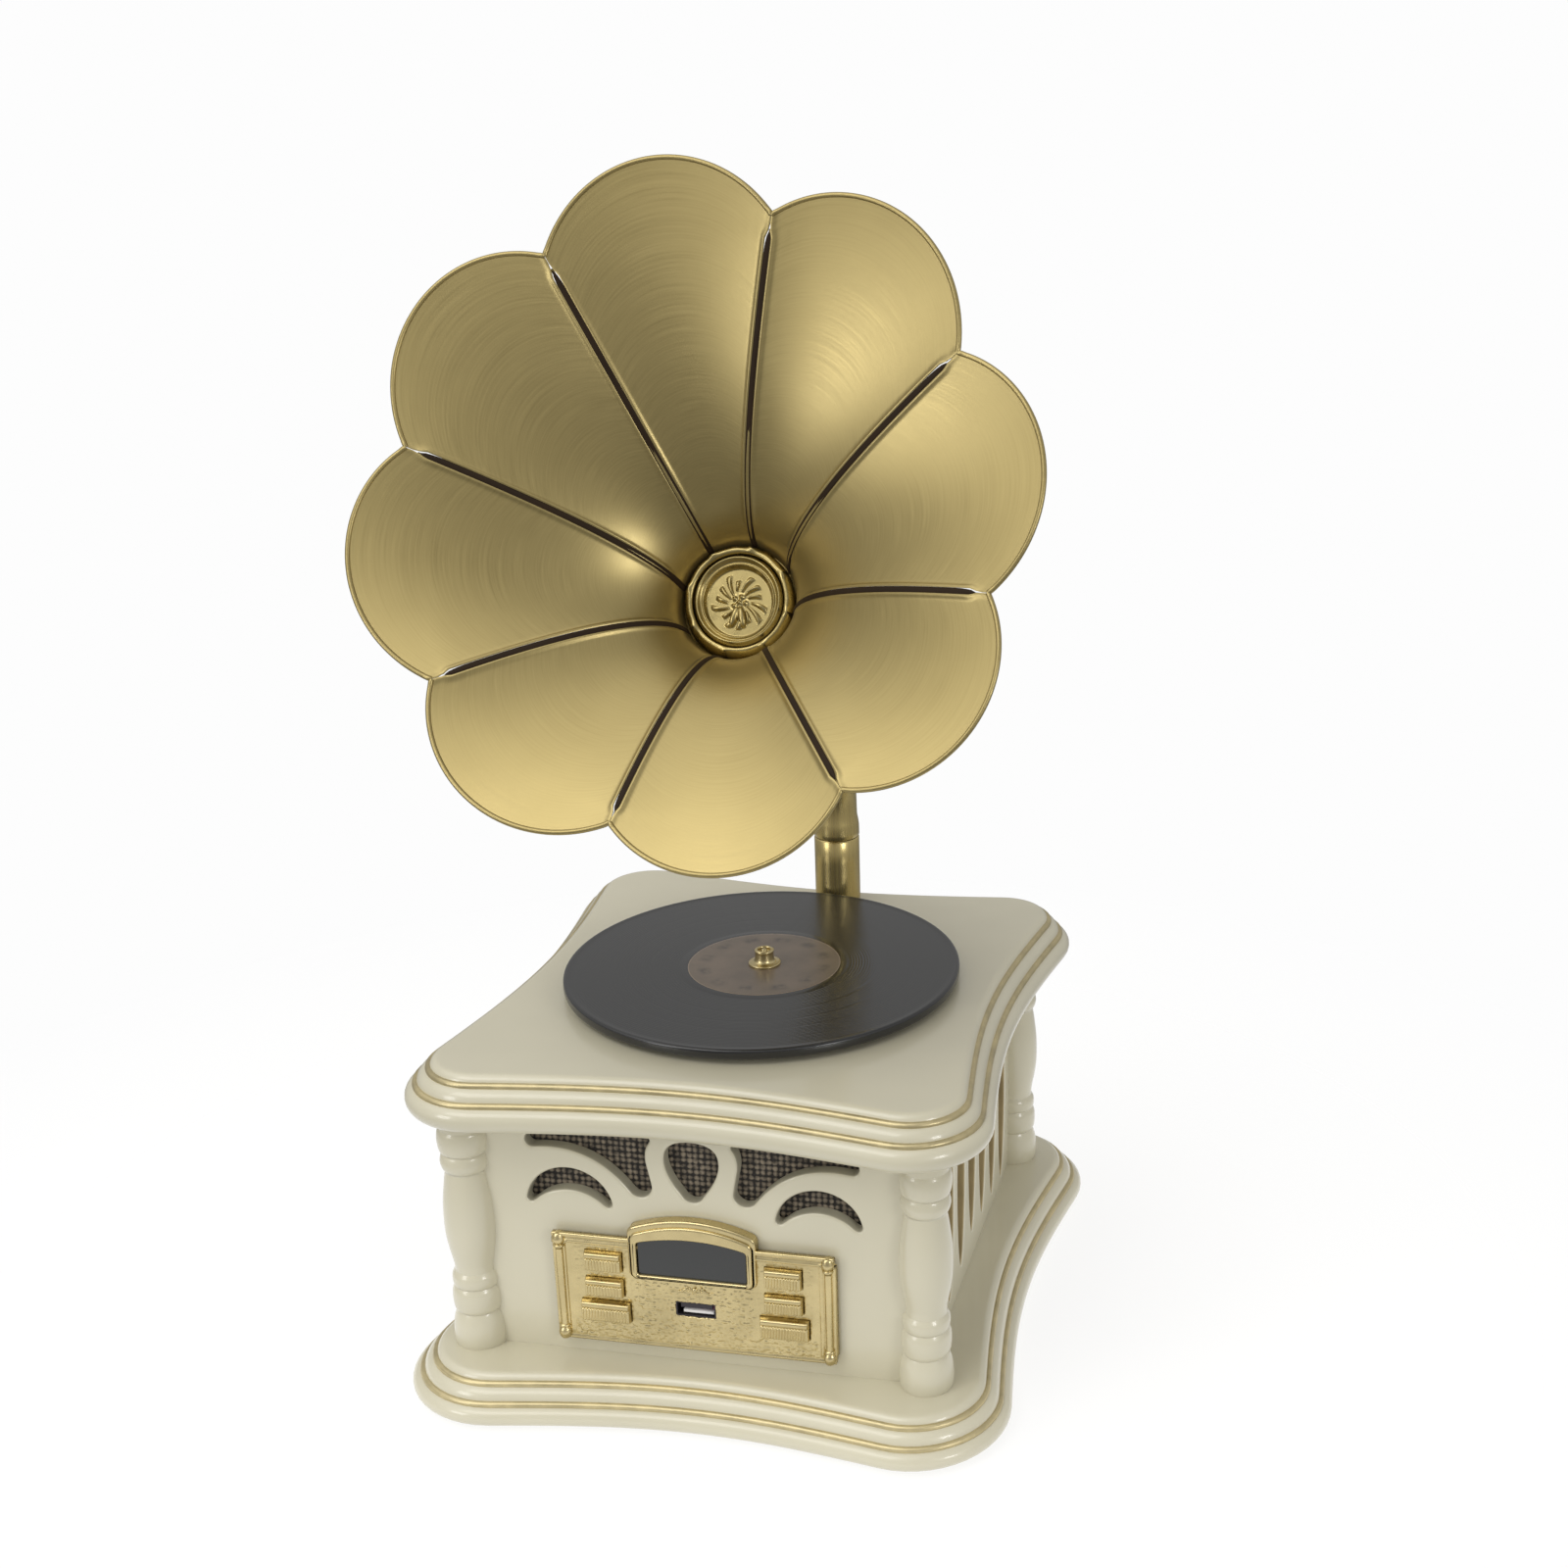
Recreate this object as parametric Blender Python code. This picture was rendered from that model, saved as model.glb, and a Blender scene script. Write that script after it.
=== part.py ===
"""A tabletop gramophone-style horn loudspeaker: a lacquered case with corner columns, a turntable
on its lid, and an eight-petal brass horn on a post behind the turntable.

Metres, +Z up, the front faces -Y. The origin is on the floor under the middle of the case.
"""

from math import acos, atan2, cos, pi, radians, sin, sqrt

import bmesh
import bpy
from mathutils import Matrix, Vector

MILLIMETRE = 0.001
GAP = 0.0003  # between pieces that touch on the real object

# Case
LID_HALF_X = 0.0900  # to the upper line of the lid's edge
LID_HALF_Y = 0.0940
LID_SWEEP = 0.0070  # how far each side curves in at its middle
LID_CORNER = 0.0181
LID_THICK = 0.0173
PLINTH_HALF_X = 0.0968
PLINTH_HALF_Y = 0.1011
PLINTH_SWEEP = 0.0074
PLINTH_CORNER = 0.0243
PLINTH_TOP = 0.0170
FOOT_HEIGHT = 0.0012
FOOT_RADIUS = 0.0080
EDGE_ROUND = 0.0030  # from the flat top to the upper line
LINE_DROP = 0.0034  # the upper line lies this far below the top
BAND_DROP = 0.0051  # from the upper line to the lower line
BAND_OUT = 0.0045
NOSE_OUT = 0.0041  # the bullnose stands this far out from the lower line
BODY_HEIGHT = 0.0920
BODY_HALF_X = 0.0780
BODY_HALF_Y = 0.0808
BODY_X = -0.0020  # the body stands this far from the middle of the plinth and the lid
PANEL_THICK = 0.0045
CELLAR_HALF_X = 0.0620  # the opening in the plinth
CELLAR_HALF_Y = 0.0600
COVER_THICK = 0.0025
COVER_LEDGE = 0.0060

# Columns
COLUMN_X = BODY_HALF_X + 0.0009
COLUMN_Y = BODY_HALF_Y - 0.0016
COLUMN_HEIGHT = 92  # the marks of the turning are in millimetres over this height
COLUMN_REACH = 0.0200  # further than the turning's radius
COLUMN_SIDES = 12
CORNERS = (("front_left", -1, -1), ("front_right", 1, -1), ("back_left", -1, 1), ("back_right", 1, 1))

# Front openings, measured from the middle of the panel and from the floor
TEARDROP_TOP = 0.1015
TEARDROP_HALF = 0.0094
TEARDROP_FOOT = 0.0792
WING_INNER = 0.0139
WING_TIP = 0.0570
WING_TOP = 0.1026
WING_FOOT = 0.0796
CRESCENT_X = 0.0430
CRESCENT_Z = 0.0729
CRESCENT_OUTER = 0.0150
CRESCENT_INNER = 0.0169
CRESCENT_INNER_Z = 0.0629
CLOTH_THICK = 0.0010
CLOTH_MARGIN = 0.0040

# Side openings
LEAF_COUNT = 7
LEAF_PITCH = 0.0190
LEAF_HALF = 0.0062
LEAF_FOOT = 0.0250
LEAF_TOP = 0.0980
LEAF_STEP = 0.0030  # each leaf stands this much lower than the next one towards the middle

# Control panel
BEZEL_HALF_X = 0.0487
BEZEL_FOOT = 0.0234
BEZEL_TOP = 0.0650
BEZEL_THICK = 0.0022
ARCH_HALF = 0.0222
ARCH_SPRING = 0.0695
ARCH_CROWN = 0.0742
RAIL_RADIUS = 0.0014
BALL_RADIUS = 0.0022
BALL_PROUD = 0.0004  # the balls' middles stand this far in front of the plate
BALL_X = 0.0466
BALL_LOW = 0.0258
BALL_HIGH = 0.0625
WINDOW_HALF = 0.0188
WINDOW_FOOT = 0.0519
WINDOW_SPRING = 0.0646
WINDOW_CROWN = 0.0672
WINDOW_THICK = 0.0012
WINDOW_LAP = 0.0015  # the pane reaches this far past its opening
KEY_ROWS = ((0.0554, 0.0126, 0.0070), (0.0453, 0.0130, 0.0064), (0.0358, 0.0168, 0.0074))
KEY_X = 0.0312
KEY_CLEARANCE = 0.0003
KEY_PROUD = 0.0022
KEY_FLANGE = 0.0008
KEY_TRAVEL = 0.0010
USB_WIDTH = 0.0142
USB_HEIGHT = 0.0058
USB_LENGTH = 0.0150
USB_Z = 0.0391
USB_WALL = 0.0006
BOARD_THICK = 0.0016
HATCH_HALF = 0.0420  # the opening in the front panel behind the bezel
HATCH_FOOT = 0.0300
HATCH_TOP = 0.0610
BOARD_LAP = 0.0015

# Sound and power
SPEAKER_RADIUS = 0.0320
SPEAKER_DEPTH = 0.0240
SPEAKER_Z = 0.0620
MAGNET_RADIUS = 0.0170
CONE_RADIUS = 0.0265
BOARD_HALF_X = 0.0450
BOARD_HALF_Y = 0.0300
BOARD_LIFT = 0.0080
INLET_X = -0.0450
INLET_Z = 0.0350
INLET_RADIUS = 0.0056
INLET_BORE = 0.0029

# Turntable
RECORD_Y = -0.0018
RECORD_RADIUS = 0.0700
RECORD_THICK = 0.0036
PLATTER_RADIUS = 0.0660
PLATTER_THICK = 0.0014
PLATTER_LIFT = 0.0005  # clear of the lid
SPINDLE_RADIUS = 0.0025
BUSH_RADIUS = 0.0060
MOTOR_RADIUS = 0.0140
MOTOR_LENGTH = 0.0220
MOTOR_SOCKET = 0.0080  # depth of the hole that drives the spindle
EAR_LENGTH = 0.0080
EAR_HALF = 0.0050
EAR_THICK = 0.0015
SPINDLE_PROUD = 0.0020  # above the record
CAP_RADIUS = 0.0034
CAP_FLANGE = 0.0056
CAP_HEIGHT = 0.0058

# Post and horn. The horn is built facing -Y with the post's axis at its origin.
POST_X = 0.0050
POST_Y = 0.0785
POST_RADIUS = 0.00875
POST_RISE = 0.0264  # from the lid to the swivel joint
POST_WALL = 0.0010
SPIGOT_RADIUS = 0.0066
SPIGOT_LENGTH = 0.0120
POST_SOCKET = 0.0120  # depth of the blind hole in the lid that holds the post
HORN_TURN = radians(-2.1)
HORN_TILT = radians(22.2)  # the mouth faces this far above level
MOUTH_REACH = 0.1355  # from the post's axis to the middle of the mouth
MOUTH_RISE = 0.1780  # from the lid to the middle of the mouth
HORN_DEPTH = 0.0517  # from the throat to the mouth
HORN_DROP = 0.0190  # the throat lies this much lower in the mouth's plane
THROAT_RADIUS = 0.0194
NOTCH_RADIUS = 0.0957
PETAL_RADIUS = 0.1103
PETALS = 8
PETAL_TURN = radians(12.7)
PETAL_DISH = 0.0015
SEAM_GAP = 0.0010
SHEET = 0.0008
ELBOW_RADIUS = 0.0340
ELBOW_FOOT_RADIUS = 0.0088
ELBOW_TUBE_RADIUS = 0.0080
TUBE_WALL = 0.0010
NECK_FLARE = 1.4  # the neck widens with this power of the distance
COLLAR_INNER = THROAT_RADIUS - 0.0038
SKIRT_LENGTH = 0.0060  # the collar reaches this far behind the throat, inside the neck
SKIRT_CLEARANCE = 0.0005
ROSETTE_RADIUS = COLLAR_INNER - 0.0005

LID_BASE = PLINTH_TOP + BODY_HEIGHT
LID_TOP = LID_BASE + LID_THICK
POST_TOP = LID_TOP + POST_RISE
FRONT = -BODY_HALF_Y
BEZEL_FACE = FRONT - GAP - BEZEL_THICK
RECORD_BASE = LID_TOP + PLATTER_LIFT + PLATTER_THICK + GAP
RECORD_TOP = RECORD_BASE + RECORD_THICK

MOUTH_AXIS = Vector((0, -cos(HORN_TILT), sin(HORN_TILT)))
MOUTH_UP = Vector((0, sin(HORN_TILT), cos(HORN_TILT)))
MOUTH = Vector((0, -MOUTH_REACH, LID_TOP + MOUTH_RISE))
THROAT = MOUTH - HORN_DEPTH * MOUTH_AXIS - HORN_DROP * MOUTH_UP
NECK_AXIS = (MOUTH - THROAT).normalized()


# How finely the round shapes are divided
SIDE_STEPS = 6
CORNER_STEPS = 4
PETAL_ROWS = 8
PETAL_COLUMNS = 6
HORN_SIDES = 20


# ---------------------------------------------------------------- building blocks


def clear_scene():
    for obj in list(bpy.data.objects):
        bpy.data.objects.remove(obj, do_unlink=True)


def material(name, colour, roughness, metallic=0.0):
    found = bpy.data.materials.get(name)
    if found:
        return found
    made = bpy.data.materials.new(name)
    made.use_nodes = True
    shader = made.node_tree.nodes["Principled BSDF"]
    shader.inputs["Base Color"].default_value = (*colour, 1)
    shader.inputs["Roughness"].default_value = roughness
    shader.inputs["Metallic"].default_value = metallic
    return made


def lacquer():
    return material("cream_lacquer", (0.66, 0.61, 0.49), 0.28)


def brass():
    return material("brushed_brass", (0.52, 0.41, 0.17), 0.34, 1.0)


def gilt():
    return material("gilt_casting", (0.80, 0.60, 0.24), 0.27, 1.0)


def black_plastic():
    return material("black_plastic", (0.02, 0.02, 0.02), 0.45)


def cloth():
    return material("grille_cloth", (0.05, 0.035, 0.025), 0.9)


def board_green():
    return material("circuit_board", (0.03, 0.16, 0.07), 0.5)


def steel():
    return material("plated_steel", (0.60, 0.60, 0.60), 0.35, 1.0)


def add_object(name, shape, finish, parent=None, smooth=True):
    """An object from a bmesh, smooth except at edges sharper than 35 degrees."""
    bmesh.ops.recalc_face_normals(shape, faces=shape.faces)
    mesh = bpy.data.meshes.new(name)
    shape.to_mesh(mesh)
    shape.free()
    if smooth:
        mesh.shade_smooth()
        mesh.set_sharp_from_angle(angle=radians(35))
    mesh.materials.append(finish)
    obj = bpy.data.objects.new(name, mesh)
    bpy.context.scene.collection.objects.link(obj)
    obj.parent = parent
    return obj


def add_empty(name, place, turn=0.0):
    empty = bpy.data.objects.new(name, None)
    empty.location = place
    empty.rotation_euler = (0, 0, turn)
    bpy.context.scene.collection.objects.link(empty)
    return empty


def add_cutter(name, shape, parent=None):
    obj = add_object(name, shape, black_plastic(), parent, smooth=False)
    obj.hide_render = True
    obj.display_type = "WIRE"
    return obj


def combine(obj, cutter, operation="DIFFERENCE"):
    modifier = obj.modifiers.new(f"{operation.lower()}_{cutter.name}", "BOOLEAN")
    modifier.operation = operation
    modifier.solver = "EXACT"
    modifier.object = cutter


def box(low, high):
    shape = bmesh.new()
    middle = (Vector(low) + Vector(high)) / 2
    size = Vector(high) - Vector(low)
    bmesh.ops.create_cube(shape, size=1, matrix=Matrix.Translation(middle) @ Matrix.Diagonal((*size, 1)))
    return shape


def turned(profile, sides, turn=Matrix.Identity(4)):
    """A profile of (radius, height) points spun about Z, then placed by the matrix."""
    shape = bmesh.new()
    points = [shape.verts.new((radius, 0, height)) for radius, height in profile]
    edges = [shape.edges.new(pair) for pair in zip(points, points[1:])]
    if profile[0][0] > 0:
        edges.append(shape.edges.new((points[-1], points[0])))
    geometry = points + edges
    bmesh.ops.spin(shape, geom=geometry, cent=(0, 0, 0), axis=(0, 0, 1), angle=2 * pi, steps=sides)
    bmesh.ops.remove_doubles(shape, verts=shape.verts, dist=1e-6)
    bmesh.ops.transform(shape, matrix=turn, verts=shape.verts)
    return shape


def cylinder(radius, low, high, sides=24, turn=Matrix.Identity(4)):
    return turned(((0, low), (radius, low), (radius, high), (0, high)), sides, turn)


def ring(inner, outer, low, high, sides=24, turn=Matrix.Identity(4)):
    return turned(((inner, low), (outer, low), (outer, high), (inner, high)), sides, turn)


def along_y(x, z):
    """Turns a shape spun about Z so that its axis lies along +Y through (x, z)."""
    return Matrix.Translation((x, 0, z)) @ Matrix.Rotation(-pi / 2, 4, "X")


def along_x(y, z, side):
    """Turns a shape spun about Z so that its axis points away from the middle on this side."""
    return Matrix.Translation((0, y, z)) @ Matrix.Rotation(side * pi / 2, 4, "Y")


def prism(outline, depth_low, depth_high, place):
    """An outline of (across, up) points pushed through from one depth to the other."""
    shape = bmesh.new()
    near = [shape.verts.new(place(across, up, depth_low)) for across, up in outline]
    far = [shape.verts.new(place(across, up, depth_high)) for across, up in outline]
    shape.faces.new(near)
    shape.faces.new(far)
    for i, start in enumerate(near):
        following = (i + 1) % len(near)
        shape.faces.new((start, near[following], far[following], far[i]))
    return shape


def on_front(across, up, depth):
    return (across, depth, up)


def on_side(across, up, depth):
    return (depth, across, up)


def join_rings(shape, rings, closed_ends=True, loop=False):
    """Faces between neighbouring rings of vertices, with the end rings filled or joined."""
    pairs = list(zip(rings, rings[1:]))
    if loop:
        pairs.append((rings[-1], rings[0]))
    for lower, upper in pairs:
        for i, start in enumerate(lower):
            following = (i + 1) % len(lower)
            shape.faces.new((start, lower[following], upper[following], upper[i]))
    if closed_ends and not loop:
        shape.faces.new(rings[0])
        shape.faces.new(rings[-1])


# ---------------------------------------------------------------- outlines


def arc(centre, radius, start, end, steps):
    """Points on a circle from one angle to another, in degrees, both ends included."""
    found = []
    for i in range(steps + 1):
        angle = radians(start + (end - start) * i / steps)
        found.append((centre[0] + radius * cos(angle), centre[1] + radius * sin(angle)))
    return found


def curve(start, control, end, steps):
    """Points on a quadratic curve, without its two ends."""
    found = []
    for i in range(1, steps):
        t = i / steps
        weights = ((1 - t) ** 2, 2 * t * (1 - t), t * t)
        marks = (start, control, end)
        found.append(tuple(sum(w * p[k] for w, p in zip(weights, marks)) for k in (0, 1)))
    return found


def crowned(half, foot, spring, crown, steps):
    """A rectangle whose top is a flat arch."""
    rise = crown - spring
    radius = (half * half + rise * rise) / (2 * rise)
    angle = atan2(half, radius - rise) * 180 / pi
    top = arc((0, crown - radius), radius, 90 - angle, 90 + angle, steps)
    return [(-half, foot), (half, foot), *top]


def case_outline(half_x, half_y, sweep, corner, grow):
    """The case's outline: sides that curve in as a cosine, and corners as arcs tangent to them."""
    points = []
    reach_x = half_x - corner
    reach_y = half_y - corner
    for quarter in range(4):
        reach, across = (reach_x, reach_y) if quarter % 2 == 0 else (reach_y, reach_x)
        lean = sweep * pi / (2 * across)
        flat = across - (corner + grow) * sin(lean)
        edge = reach + (corner + grow) * cos(lean)
        local = []
        for i in range(SIDE_STEPS + 1):
            t = -flat + 2 * flat * i / SIDE_STEPS
            local.append((edge - sweep * cos(pi * t / (2 * flat)), t))
        for i in range(1, CORNER_STEPS):
            angle = -lean + (pi / 2 + 2 * lean) * i / CORNER_STEPS
            local.append((reach + (corner + grow) * cos(angle), across + (corner + grow) * sin(angle)))
        turn = quarter * pi / 2
        points += [(x * cos(turn) - y * sin(turn), x * sin(turn) + y * cos(turn)) for x, y in local]
    return points


def edge_profile(top, base):
    """The stepped edge as (growth from the upper line, height): round, line, band, line, bullnose."""
    upper = top - LINE_DROP
    lower = upper - BAND_DROP
    nose = (lower - base) / 2
    profile = [(-EDGE_ROUND, top), (-0.35 * EDGE_ROUND, top - 0.25 * LINE_DROP), (0, upper)]
    profile += [(0.6 * BAND_OUT, upper - 0.25 * BAND_DROP), (BAND_OUT, lower)]
    for i in range(1, 6):
        angle = pi / 2 - pi * i / 6
        profile.append((BAND_OUT + NOSE_OUT * cos(angle), base + nose + nose * sin(angle)))
    profile.append((BAND_OUT, base))
    return profile


def moulded_slab(half_x, half_y, sweep, corner, top, base):
    shape = bmesh.new()
    rings = []
    for grow, height in edge_profile(top, base):
        outline = case_outline(half_x, half_y, sweep, corner, grow)
        rings.append([shape.verts.new((x, y, height)) for x, y in outline])
    join_rings(shape, rings)
    return shape


# ---------------------------------------------------------------- case


def make_plinth():
    slab = moulded_slab(PLINTH_HALF_X, PLINTH_HALF_Y, PLINTH_SWEEP, PLINTH_CORNER, PLINTH_TOP, FOOT_HEIGHT)
    plinth = add_object("plinth", slab, lacquer())
    opening = box((-CELLAR_HALF_X, -CELLAR_HALF_Y, -0.01), (CELLAR_HALF_X, CELLAR_HALF_Y, PLINTH_TOP + 0.01))
    combine(plinth, add_cutter("cut_cellar", opening))
    ledge_x = CELLAR_HALF_X + COVER_LEDGE
    ledge_y = CELLAR_HALF_Y + COVER_LEDGE
    ledge = box((-ledge_x, -ledge_y, -0.01), (ledge_x, ledge_y, FOOT_HEIGHT + COVER_THICK + GAP))
    combine(plinth, add_cutter("cut_cover_ledge", ledge))


def make_bottom_cover():
    half_x = CELLAR_HALF_X + COVER_LEDGE - GAP
    half_y = CELLAR_HALF_Y + COVER_LEDGE - GAP
    plate = box((-half_x, -half_y, FOOT_HEIGHT), (half_x, half_y, FOOT_HEIGHT + COVER_THICK))
    cover = add_object("bottom_cover", plate, black_plastic(), smooth=False)
    for x in (-1, 1):
        for y in (-1, 1):
            place = Matrix.Translation((x * (BOARD_HALF_X - 0.005), y * (BOARD_HALF_Y - 0.005), 0))
            post = cylinder(0.0025, FOOT_HEIGHT + COVER_THICK / 2, BOARD_LIFT, 8, place)
            combine(cover, add_cutter(f"boss_{x}_{y}", post), "UNION")


def make_feet():
    reach_x = PLINTH_HALF_X - PLINTH_CORNER
    reach_y = PLINTH_HALF_Y - PLINTH_CORNER
    rubber = material("foot_rubber", (0.03, 0.03, 0.03), 0.8)
    for name, x, y in CORNERS:
        place = Matrix.Translation((x * reach_x, y * reach_y, 0))
        add_object(f"foot_{name}", cylinder(FOOT_RADIUS, 0, FOOT_HEIGHT - GAP, 16, place), rubber)


def make_lid():
    slab = moulded_slab(LID_HALF_X, LID_HALF_Y, LID_SWEEP, LID_CORNER, LID_TOP, LID_BASE)
    lid = add_object("lid", slab, lacquer())
    spindle = Matrix.Translation((0, RECORD_Y, 0))
    hole = cylinder(BUSH_RADIUS + GAP, LID_BASE - 0.01, LID_TOP + 0.01, 24, spindle)
    combine(lid, add_cutter("cut_bush", hole))
    post = Matrix.Translation((POST_X, POST_Y, 0))
    hole = cylinder(POST_RADIUS + GAP, LID_TOP - POST_SOCKET, LID_TOP + 0.01, 24, post)
    combine(lid, add_cutter("cut_post", hole))


def column_profile():
    """The turning as (radius, height above the plinth): bell, torus, ring, vase, bead, bell and neck."""
    foot = PLINTH_TOP + GAP
    top = LID_BASE - GAP
    rise = (top - foot) / COLUMN_HEIGHT
    marks = (
        (9.2, 0), (9.3, 5), (8.8, 9), (7.5, 13), (8.3, 14.5), (8.6, 18), (8.3, 21.2), (7.5, 22.8),
        (8.0, 24.2), (8.0, 27), (7.0, 28.9), (7.2, 32), (8.3, 38), (9.0, 44.5), (8.8, 54), (7.9, 62),
        (7.0, 67.3), (7.9, 68.5), (8.4, 70.8), (7.9, 73.2), (7.5, 74.1), (8.4, 75.4), (8.8, 79),
        (8.5, 82), (7.9, 83.2), (7.9, COLUMN_HEIGHT),
    )
    inner = [(radius * MILLIMETRE, foot + height * rise) for radius, height in marks]
    return [(0, foot), *inner, (0, top)]


def make_columns():
    """Each column is let into the body's corner, which takes a quarter of it away."""
    for name, x, y in CORNERS:
        place = Matrix.Translation((x * COLUMN_X, y * COLUMN_Y, 0))
        column = add_object(f"column_{name}", turned(column_profile(), COLUMN_SIDES, place), lacquer())
        sides = (x * (BODY_HALF_X + GAP), x * (COLUMN_X - COLUMN_REACH))
        faces = (y * (BODY_HALF_Y + GAP), y * (COLUMN_Y - COLUMN_REACH))
        corner = box((min(sides), min(faces), 0), (max(sides), max(faces), LID_TOP))
        combine(column, add_cutter(f"cut_column_{name}", corner))


def teardrop():
    """A drop with a broad round top and a narrow round foot."""
    shoulder = TEARDROP_TOP - 0.0075
    lower = [(TEARDROP_HALF * 0.66, shoulder - 0.0089), (TEARDROP_HALF * 0.89, shoulder - 0.0045)]
    upper = [(TEARDROP_HALF, shoulder), (TEARDROP_HALF * 0.93, shoulder + 0.0040)]
    crown = [(TEARDROP_HALF * 0.67, shoulder + 0.0064), (TEARDROP_HALF * 0.28, TEARDROP_TOP)]
    side = [*lower, *upper, *crown]
    foot = arc((0, TEARDROP_FOOT + 0.0040), 0.0040, -160, -20, 5)
    return [*foot, *side, *[(-x, z) for x, z in side[::-1]]]


def wing(side):
    """A wing with a rounded tip, a sagging lower edge and a round lobe at its inner foot."""
    lobe = (WING_INNER + 0.0043, WING_FOOT + 0.0040)
    tip = (WING_TIP - 0.0024, WING_TOP - 0.0051)
    points = arc((WING_INNER + 0.0018, WING_TOP - 0.0018), 0.0018, 180, 90, 3)
    points += arc(tip, 0.0024, 80, -90, 5)
    end = (lobe[0] + 0.0031, lobe[1] - 0.0026)
    points += curve(points[-1], (lobe[0] + 0.0158, tip[1] + 0.0010), end, 8)
    points += arc(lobe, 0.0041, -40, -180, 6)
    waist = [(WING_INNER + 0.0014, WING_FOOT + 0.0104), (WING_INNER + 0.0022, WING_FOOT + 0.0144)]
    points += [*waist, (WING_INNER + 0.0017, WING_FOOT + 0.0184)]
    return [(side * x, z) for x, z in points]


def crescent(side):
    """The space between two arcs, closed by small round ends."""
    outer = arc((CRESCENT_X, CRESCENT_Z), CRESCENT_OUTER, 172, 8, 14)
    inner = arc((CRESCENT_X, CRESCENT_INNER_Z), CRESCENT_INNER, 45, 135, 10)
    right = (outer[-1][0] - 0.0013, outer[-1][1] - 0.0011)
    left = (outer[0][0] + 0.0013, outer[0][1] - 0.0011)
    return [(side * x, z) for x, z in (*outer, right, *inner, left)]


def front_openings():
    return [teardrop(), wing(-1), wing(1), crescent(-1), crescent(1)]


def make_front_panel():
    back = FRONT + PANEL_THICK
    low = (-BODY_HALF_X, FRONT, PLINTH_TOP + GAP)
    board = box(low, (BODY_HALF_X, back, LID_BASE - GAP))
    panel = add_object("front_panel", board, lacquer(), smooth=False)
    for i, outline in enumerate(front_openings()):
        shape = prism(outline, FRONT - 0.01, back + 0.01, on_front)
        combine(panel, add_cutter(f"cut_grille_{i}", shape))
    hatch = box((-HATCH_HALF, FRONT - 0.01, HATCH_FOOT), (HATCH_HALF, back + 0.01, HATCH_TOP))
    combine(panel, add_cutter("cut_hatch", hatch))
    half = WINDOW_HALF + WINDOW_LAP + GAP
    top = WINDOW_CROWN + WINDOW_LAP + GAP
    display = box((-half, FRONT - 0.01, HATCH_TOP - 0.001), (half, back + 0.01, top))
    combine(panel, add_cutter("cut_display", display))


def leaf(index):
    """A slender opening, pointed at both ends."""
    from_middle = index - (LEAF_COUNT - 1) / 2
    centre = from_middle * LEAF_PITCH
    foot = LEAF_FOOT - LEAF_STEP * abs(from_middle) + LEAF_STEP
    top = LEAF_TOP - LEAF_STEP * abs(from_middle)
    right = []
    steps = 6
    for i in range(steps):
        t = i / steps
        right.append((centre + LEAF_HALF * sin(pi * t) ** 0.8, foot + (top - foot) * t))
    left = [(2 * centre - y, z) for y, z in right[:0:-1]]
    return [*right, (centre, top), *left]


def make_side_panels():
    half = BODY_HALF_Y - PANEL_THICK - GAP
    for name, side in (("left", -1), ("right", 1)):
        inner = side * (BODY_HALF_X - PANEL_THICK)
        outer = side * BODY_HALF_X
        low = (min(inner, outer), -half, PLINTH_TOP + GAP)
        high = (max(inner, outer), half, LID_BASE - GAP)
        panel = add_object(f"{name}_panel", box(low, high), lacquer(), smooth=False)
        for i in range(LEAF_COUNT):
            shape = prism(leaf(i), low[0] - 0.01, high[0] + 0.01, on_side)
            combine(panel, add_cutter(f"cut_{name}_leaf_{i}", shape))


def make_back_panel():
    inner = BODY_HALF_Y - PANEL_THICK
    low = (-BODY_HALF_X, inner, PLINTH_TOP + GAP)
    board = box(low, (BODY_HALF_X, BODY_HALF_Y, LID_BASE - GAP))
    panel = add_object("back_panel", board, lacquer(), smooth=False)
    hole = cylinder(INLET_RADIUS + GAP, inner - 0.01, BODY_HALF_Y + 0.01, 16, along_y(INLET_X, INLET_Z))
    combine(panel, add_cutter("cut_inlet", hole))


def make_cloths():
    near = FRONT + PANEL_THICK + GAP
    low = (-WING_TIP - CLOTH_MARGIN, near, CRESCENT_Z - 0.0005)
    high = (WING_TIP + CLOTH_MARGIN, near + CLOTH_THICK, LID_BASE - 0.001)
    add_object("front_cloth", box(low, high), cloth(), smooth=False)
    half = LEAF_PITCH * (LEAF_COUNT - 1) / 2 + LEAF_HALF + CLOTH_MARGIN
    for name, side in (("left", -1), ("right", 1)):
        outer = side * (BODY_HALF_X - PANEL_THICK - GAP)
        inner = outer - side * CLOTH_THICK
        low = (min(inner, outer), -half, PLINTH_TOP + 0.001)
        high = (max(inner, outer), half, LID_BASE - 0.001)
        add_object(f"{name}_cloth", box(low, high), cloth(), smooth=False)


# ---------------------------------------------------------------- control panel


def bezel_outline():
    arch = crowned(ARCH_HALF, BEZEL_TOP, ARCH_SPRING, ARCH_CROWN, 10)
    foot = [(-BEZEL_HALF_X, BEZEL_FOOT), (BEZEL_HALF_X, BEZEL_FOOT)]
    return [*foot, (BEZEL_HALF_X, BEZEL_TOP), *arch[1:], (-ARCH_HALF, BEZEL_TOP), (-BEZEL_HALF_X, BEZEL_TOP)]


def window_outline(grow):
    """The display opening, or the pane, which reaches past it by this much."""
    spring = WINDOW_SPRING + grow
    return crowned(WINDOW_HALF + grow, WINDOW_FOOT - grow, spring, WINDOW_CROWN + grow, 8)


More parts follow.
